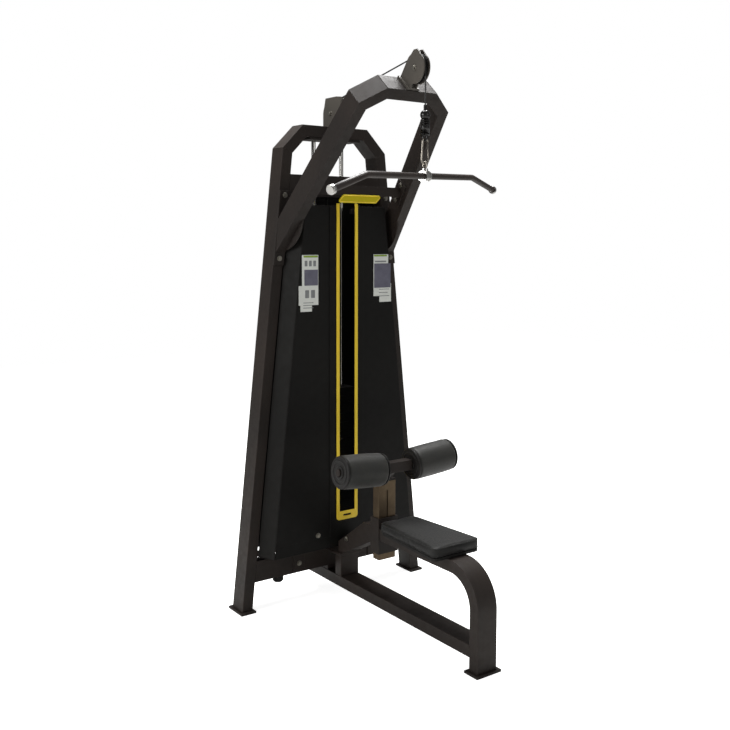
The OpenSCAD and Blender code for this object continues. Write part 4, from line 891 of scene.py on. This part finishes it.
@dataclass
class KneeRoller:
    """One thigh roller: a vinyl-skinned foam sleeve between two discs.

    Attributes:
        side: "left" or "right".
        start: distance from the hinge point to the foam's inner end.
        end: distance to its outer end.
        radius: radius of the foam.
        bore: radius of the hole for the core.
        disc_end: distance from the hinge point to the outer disc's face.
    """

    side: str
    start: float = 0.0085
    end: float = 0.2035
    radius: float = 0.070
    bore: float = 0.0166
    disc_end: float = 0.212

    def skin(self) -> bpy.types.Object:
        """Builds the foam sleeve with soft shoulders, a slight belly and gathers at its ends."""
        origin, axis = joint_place(f"{self.side}_roller_spin")
        shoulder = 0.011
        length = self.end - self.start
        profile = [(self.bore, self.start), (self.radius - shoulder, self.start)]
        for k in range(1, 9):
            angle = math.radians(90 * k / 8)
            profile.append((self.radius - shoulder + shoulder * math.sin(angle),
                            self.start + shoulder - shoulder * math.cos(angle)))
        for k in range(1, 24):
            share = k / 24
            along = self.start + shoulder + (length - 2 * shoulder) * share
            profile.append((self.radius + 0.0012 * math.sin(math.pi * share), along))
        for k in range(8, 0, -1):
            angle = math.radians(90 * k / 8)
            profile.append((self.radius - shoulder + shoulder * math.sin(angle),
                            self.end - shoulder + shoulder * math.cos(angle)))
        profile += [(self.radius - shoulder, self.end), (self.bore, self.end)]

        def gathers(place: Vector) -> float:
            """Returns how far the skin lies in or out at a point: soft waves, deeper at the ends."""
            share = ((place - origin).dot(axis) - self.start) / length
            near_end = max(0.0, 1 - 6 * min(share, 1 - share))
            wave = noise.noise(place * 26) * 0.0007
            return wave + near_end * noise.noise(place * 75) * 0.0011 - 0.0007

        return lathe(f"{self.side}_roller_skin", profile, origin, axis, Look.ROLLER_FOAM, 128, gathers)

    def fittings(self) -> None:
        """Adds the raised ring and the boss on each disc."""
        origin, axis = joint_place(f"{self.side}_roller_spin")
        body = f"{self.side}_roller"
        for title, face, out in (("inner", 0.0, -1), ("outer", self.disc_end, 1)):
            ring = [(0.044, 0.0), (0.0445, 0.0014), (0.0465, 0.0022), (0.0505, 0.0022), (0.0525, 0.0014),
                    (0.053, 0.0)]
            at = origin + axis * face
            settle(lathe(f"{body}_{title}_ring", ring, at, axis * out, Look.BLACK_PLASTIC, 72), body,
                   "black_plastic")
            boss = [(0.0165, 0.0), (0.0165, 0.003), (0.0185, 0.0042), (0.025, 0.0042), (0.0275, 0.003),
                    (0.028, 0.0)]
            settle(lathe(f"{body}_{title}_boss", boss, at, axis * out, Look.BLACK_PLASTIC, 64), body,
                   "black_plastic")

    def build(self) -> None:
        """Builds the sleeve and its fittings."""
        skin = self.skin()
        settle(skin, f"{self.side}_roller", "roller_foam", f"{self.side}_roller_foam")
        self.fittings()


# ---- cable --------------------------------------------------------------------------------------


@dataclass
class CableDrops:
    """The two hanging lengths of cable; each is built as one fixed straight tube, though the real cable grows
    and shrinks as the stack moves.

    Attributes:
        radius: radius of the jacket.
        ring: distance from ring to ring of the mesh.
    """

    radius: float = 0.003
    ring: float = 0.004

    def drop(self, node: str, moving: str) -> None:
        """Builds one hanging length as a straight tube where its CAD solid stood, between the frame and a
        moving body.

        Args:
            node: the CAD solid that it stands for.
            moving: the body at its moving end.
        """
        low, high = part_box(node)
        x, y = (low.x + high.x) / 2, (low.y + high.y) / 2
        steps = int((high.z - low.z) / self.ring)
        path = [Vector((x, y, low.z + (high.z - low.z) * k / steps)) for k in range(steps + 1)]
        tube = sweep(node + "_jacket", path, self.radius, Look.CABLE_JACKET, 16)
        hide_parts(node)
        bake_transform(tube)
        LOG.info("%s bends between frame and %s", tube.name, moving)

    def crimp(self) -> None:
        """Adds the pressed sleeve that holds the cable above the ball."""
        low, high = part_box("front_cable_drop")
        base = Vector((0, (low.y + high.y) / 2, low.z - 0.001))
        profile = [(self.radius + 0.0002, 0.0), (0.0068, 0.0), (0.0072, 0.0015), (0.0066, 0.006),
                   (0.0072, 0.010), (0.0066, 0.0145), (0.0068, 0.019), (0.0055, 0.021),
                   (self.radius + 0.0002, 0.0215)]
        settle(lathe("cable_crimp", profile, base, Vector((0, 0, 1)), Look.BLACK_PLASTIC, 48),
               "cable_end", "black_plastic")

    def bands(self) -> None:
        """Adds the raised bands on the weight sleeve under the ball."""
        low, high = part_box("cable_stop")
        y = (low.y + high.y) / 2
        for number, drop in enumerate((0.046, 0.052, 0.098)):
            base = Vector((0, y, high.z - drop))
            profile = [(0.0185, 0.0), (0.0194, 0.0004), (0.0199, 0.0015), (0.0194, 0.0026), (0.0185, 0.003)]
            settle(lathe(f"sleeve_band_{number}", profile, base, Vector((0, 0, 1)), Look.BLACK_PLASTIC,
                         64), "cable_end", "black_plastic")

    def build(self) -> None:
        """Builds both hanging lengths, the crimp and the sleeve's bands."""
        self.drop("front_cable_drop", "cable_end")
        self.drop("rear_cable_drop", "stack")
        self.crimp()
        self.bands()


# ---- pulleys ------------------------------------------------------------------------------------


@dataclass
class PulleyTrim:
    """The bright bearing in each pulley's hub and the raised rim round its side.

    Attributes:
        name: "front" or "rear".
    """

    name: str

    def build(self) -> None:
        """Adds a bearing ring and a raised rim on both sides of the pulley."""
        centre, axis = joint_place(f"{self.name}_pulley_spin")
        low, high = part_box(f"{self.name}_pulley")
        half = (high.x - low.x) / 2
        for title, out in (("left", -1), ("right", 1)):
            at = centre + axis * out * half
            bearing = [(0.0085, 0.0), (0.0085, 0.0007), (0.0135, 0.0007), (0.0145, 0.0002), (0.0165, 0.0002),
                       (0.0175, 0.0007), (0.0195, 0.0007), (0.020, 0.0)]
            settle(lathe(f"{self.name}_pulley_bearing_{title}", bearing, at, axis * out, Look.BARE_STEEL,
                         56), f"{self.name}_pulley", "bare_steel")
            rim = [(0.047, 0.0), (0.0475, 0.0008), (0.0535, 0.0008), (0.054, 0.0)]
            settle(lathe(f"{self.name}_pulley_rim_{title}", rim, at, axis * out, Look.BLACK_PLASTIC, 96),
                   f"{self.name}_pulley", "black_plastic")


# ---- welds --------------------------------------------------------------------------------------


@dataclass
class WeldSeams:
    """Weld beads where two tubes of the frame meet, laid where the CAD tubes share corners.

    Attributes:
        pairs: names of the tubes that meet.
        bead: half width of one ripple.
        spacing: distance from ripple to ripple.
        inset: how far the seam's corners are drawn in from the tubes' corners.
        corner: radius that the seam turns at the tubes' corners.
    """

    pairs: Tuple[Tuple[str, str], ...] = (
        ("left_upright", "left_shoulder"), ("right_upright", "right_shoulder"),
        ("left_shoulder", "crown_beam"), ("right_shoulder", "crown_beam"),
        ("left_boom_leg", "left_boom_corner"), ("right_boom_leg", "right_boom_corner"),
        ("left_boom_corner", "boom_crown"), ("right_boom_corner", "boom_crown"),
    )
    bead: float = 0.0014
    spacing: float = 0.0018
    inset: float = 0.0013
    corner: float = 0.004

    def loop(self, first: str, second: str) -> List[Vector]:
        """Returns the outer corners that two tubes share, in order, drawn in a little.

        Args:
            first: name of one tube.
            second: name of the other.

        Returns:
            The corners of the seam, or an empty list if they share fewer than four.
        """
        keys = [{tuple(round(c, 4) for c in v.co) for v in frame["nodes"][n].data.vertices}
                for n in (first, second)]
        shared = [Vector(k) for k in keys[0] & keys[1]]
        if len(shared) < 4:
            return []
        middle = sum(shared, Vector()) / len(shared)
        outer = sorted(shared, key=lambda p: -(p - middle).length)[:4]
        right = (outer[0] - middle).normalized()
        normal = max((right.cross((p - middle).normalized()) for p in outer[1:]),
                     key=lambda n: n.length).normalized()
        up = normal.cross(right)
        outer.sort(key=lambda p: math.atan2((p - middle).dot(up), (p - middle).dot(right)))
        return [p + (middle - p).normalized() * self.inset for p in outer]

    def build(self, beads: BeadRow) -> None:
        """Lays one ring of ripples at each pair."""
        for number, (first, second) in enumerate(self.pairs):
            corners = self.loop(first, second)
            if not corners:
                LOG.warning("%s and %s share no seam", first, second)
                continue
            path = rounded_outline(corners, self.corner, 5)
            ripple = Vector((self.bead, self.bead, self.bead * 1.1))
            seam = beads.run(f"weld_{first}_{second}", [path], self.spacing, ripple, Look.FRAME_PAINT,
                             0.18, number + 1)
            settle(seam, "frame", "frame_paint")


# ---- placards and name plate --------------------------------------------------------------------


@dataclass
class Print:
    """One block of flat ink on a card, with rounded corners.

    Attributes:
        left, right: its sides, as shares of the card's width.
        low, high: its lower and upper edges, as shares of the card's height.
        look: its ink.
    """

    left: float
    right: float
    low: float
    high: float
    look: Look


class Side(Enum):
    """The two cards, by the sign of x."""

    LEFT = -1
    RIGHT = 1


@dataclass
class Placard:
    """A printed card of plain blocks and bars, with no words or figures on it.

    Attributes:
        side: which of the two cards it is.
        rise: thickness of the ink.
        corner: largest radius of a block's corners.
    """

    side: Side
    rise: float = 0.00025
    corner: float = 0.0024

    def blocks(self) -> List[Print]:
        """Returns the card's blocks: a header, a field and rows of bars."""
        rows: List[Print] = []
        if self.side is Side.LEFT:
            rows.append(Print(0.24, 0.98, 0.955, 0.99, Look.INK_GREEN))
            for column in range(3):
                left = 0.30 + 0.22 * column
                rows.append(Print(left, left + 0.14, 0.80, 0.90, Look.INK_GREY))
            rows.append(Print(0.28, 0.98, 0.46, 0.74, Look.INK_SLATE))
            for column in range(2):
                left = 0.32 + 0.30 * column
                rows.append(Print(left, left + 0.20, 0.24, 0.38, Look.INK_GREY))
            for line in range(3):
                low = 0.15 - 0.045 * line
                rows.append(Print(0.22, 0.66 if line % 2 else 0.74, low, low + 0.012, Look.INK_GREY))
        else:
            rows.append(Print(0.02, 0.76, 0.955, 0.99, Look.INK_GREEN))
            rows.append(Print(0.06, 0.72, 0.835, 0.865, Look.INK_GREY))
            rows.append(Print(0.03, 0.97, 0.30, 0.81, Look.INK_SLATE))
            for line in range(3):
                low = 0.26 - 0.07 * line
                rows.append(Print(0.30, 0.80 if line % 2 else 0.90, low, low + 0.014, Look.INK_GREY))
        return rows

    def build(self) -> None:
        """Lays each block on the card's face."""
        sign = self.side.value
        points = [v.co for v in frame["nodes"]["placards"].data.vertices if v.co.x * sign > 0]
        x0, x1 = min(p.x for p in points), max(p.x for p in points)
        z0, z1 = min(p.z for p in points), max(p.z for p in points)
        face = min(p.y for p in points)
        name = self.side.name.lower()
        for number, block in enumerate(self.blocks()):
            left, right = x0 + (x1 - x0) * block.left, x0 + (x1 - x0) * block.right
            low, high = z0 + (z1 - z0) * block.low, z0 + (z1 - z0) * block.high
            corner = min((right - left) * 0.3, (high - low) * 0.3, self.corner)
            corners = [Vector((left, face, low)), Vector((right, face, low)), Vector((right, face, high)),
                       Vector((left, face, high))]
            ring = rounded_outline(corners, corner, 4)
            count = len(ring)
            verts = ring + [p - Vector((0, self.rise, 0)) for p in ring]
            faces: List[Sequence[int]] = [tuple(range(count)), tuple(count + k for k in range(count))]
            faces += [(k, (k + 1) % count, count + (k + 1) % count, count + k) for k in range(count)]
            obj = mesh_object(f"{name}_card_print_{number}", verts, faces, block.look)
            keep_edges(obj)
            settle(obj, "frame", "placard_film")


@dataclass
class NamePlateRim:
    """The paler raised border of the bare name plate, whose ends lean with the plate's.

    Attributes:
        radius: radius of the border.
        inset: distance from the plate's edge to the border's middle.
        corner: radius of the plate's corners.
    """

    radius: float = 0.0016
    inset: float = 0.0045
    corner: float = 0.009

    def build(self) -> None:
        """Runs the border round the plate's face."""
        low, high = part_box("name_plate")
        reach, rise = self.corner - self.inset, high.z - low.z - 2 * self.corner
        sharp, blunt = reach * (math.sqrt(2) + 1), reach * (math.sqrt(2) - 1)
        left, right = low.x + self.corner, high.x - self.corner
        near, far = low.z + self.inset, high.z - self.inset
        corners = [Vector((x, low.y, z)) for x, z in (
            (left - sharp, near), (right - rise + blunt, near), (right + sharp, far),
            (left + rise - blunt, far))]
        path = rounded_outline(corners, reach, 14)
        settle(sweep("name_plate_rim", path, self.radius, Look.YELLOW_TRIM, 10, closed=True), "frame",
               "yellow_trim")


# ---- studio -------------------------------------------------------------------------------------


@dataclass(frozen=True)
class StudioCamera:
    """The camera: where it stands, where it looks and how it is framed."""

    place: Tuple[float, float, float] = (-2.3564, -3.2115, 1.680)
    azimuth: float = 36.98
    pitch: float = -4.96
    roll: float = 0.32
    lens: float = 46.605
    shift: Tuple[float, float] = (-0.0543, -0.0671)

    def build(self) -> None:
        """Makes the camera and the scene's view settings."""
        az, tip = math.radians(self.azimuth), math.radians(self.pitch)
        ahead = Vector((math.sin(az) * math.cos(tip), math.cos(az) * math.cos(tip), math.sin(tip)))
        level = Vector((math.cos(az), -math.sin(az), 0))
        turn = Matrix.Rotation(math.radians(-self.roll), 3, ahead)
        right = turn @ level
        up = right.cross(ahead)
        data = bpy.data.cameras.new("camera")
        data.lens = self.lens
        data.sensor_width = 36
        data.shift_x, data.shift_y = self.shift
        obj = bpy.data.objects.new("camera", data)
        basis = Matrix((right, up, -ahead)).transposed()
        obj.matrix_world = Matrix.Translation(self.place) @ basis.to_4x4()
        bpy.context.scene.collection.objects.link(obj)
        bpy.context.scene.camera = obj
        bpy.context.scene.view_settings.view_transform = "Standard"


@dataclass(frozen=True)
class SoftLight:
    """A large soft lamp aimed at the machine."""

    name: str
    place: Tuple[float, float, float]
    target: Tuple[float, float, float]
    size: float
    watts: float

    def build(self) -> None:
        """Makes the lamp."""
        data = bpy.data.lights.new(self.name, "AREA")
        data.shape = "DISK"
        data.size = self.size
        data.energy = self.watts
        obj = bpy.data.objects.new(self.name, data)
        aim = Vector(self.target) - Vector(self.place)
        obj.matrix_world = Matrix.Translation(self.place) @ aim.to_track_quat("-Z", "Y").to_matrix().to_4x4()
        bpy.context.scene.collection.objects.link(obj)


@dataclass(frozen=True)
class Studio:
    """A pale floor and an even surround, with three soft lamps, the strongest overhead."""

    fill: float = 0.2
    lamps: Tuple[SoftLight, ...] = (
        SoftLight("side lamp", (-4.6, 0.4, 2.6), (0, 0.1, 1.0), 2.6, 120),
        SoftLight("top lamp", (0.6, 0.9, 4.6), (0, 0, 0.8), 2.4, 290),
        SoftLight("front lamp", (1.4, -4.8, 2.8), (0, 0, 1.1), 2.6, 25),
    )

    def surround(self) -> None:
        """Makes the world: white to the eye, dimmer as a light."""
        world = bpy.data.worlds.new("surround")
        world.use_nodes = True
        bpy.context.scene.world = world
        nodes, links = world.node_tree.nodes, world.node_tree.links
        back = nodes["Background"]
        back.inputs["Color"].default_value = (1, 1, 1, 1)
        ray = nodes.new("ShaderNodeLightPath")
        level = nodes.new("ShaderNodeMapRange")
        level.inputs["To Min"].default_value = self.fill
        level.inputs["To Max"].default_value = 1.0
        links.new(ray.outputs["Is Camera Ray"], level.inputs["Value"])
        links.new(level.outputs[0], back.inputs["Strength"])

    def floor(self) -> None:
        """Makes the floor, lifted towards white for the eye and still taking the shadow."""
        half = 9.0
        verts = [Vector((x, y, 0)) for x, y in ((-half, -half), (half, -half), (half, half), (-half, half))]
        mesh = bpy.data.meshes.new("floor")
        mesh.from_pydata([tuple(v) for v in verts], [], [(0, 1, 2, 3)])
        tree = Tree("Studio floor, white")
        tree.into("Base Color", linear("#f4f4f2"))
        tree.into("Roughness", 0.9)
        ray = tree.add("ShaderNodeLightPath").outputs["Is Camera Ray"]
        tree.into("Emission Color", (1, 1, 1, 1))
        tree.into("Emission Strength", tree.ramp(ray, 0, 1, 0.0, 0.84))
        mesh.materials.append(tree.material)
        obj = bpy.data.objects.new("floor", mesh)
        bpy.context.scene.collection.objects.link(obj)

    def build(self) -> None:
        """Builds the surround, the floor and the lamps."""
        self.surround()
        self.floor()
        for lamp in self.lamps:
            lamp.build()


# ---- all together -------------------------------------------------------------------------------


def main() -> None:
    """Builds the studio, dresses the frame and adds each modelled piece."""
    logging.basicConfig(level=logging.INFO, format="%(message)s")
    StudioCamera().build()
    Studio().build()
    for dressing in DRESSINGS:
        dressing.apply()
    beads = BeadRow()
    CableDrops().build()
    SeatCushion().build(beads)
    for side in ("left", "right"):
        KneeRoller(side).build()
    for name in ("front", "rear"):
        PulleyTrim(name).build()
    WeldSeams().build(beads)
    for side in Side:
        Placard(side).build()
    NamePlateRim().build()


if __name__ == "__main__":
    main()
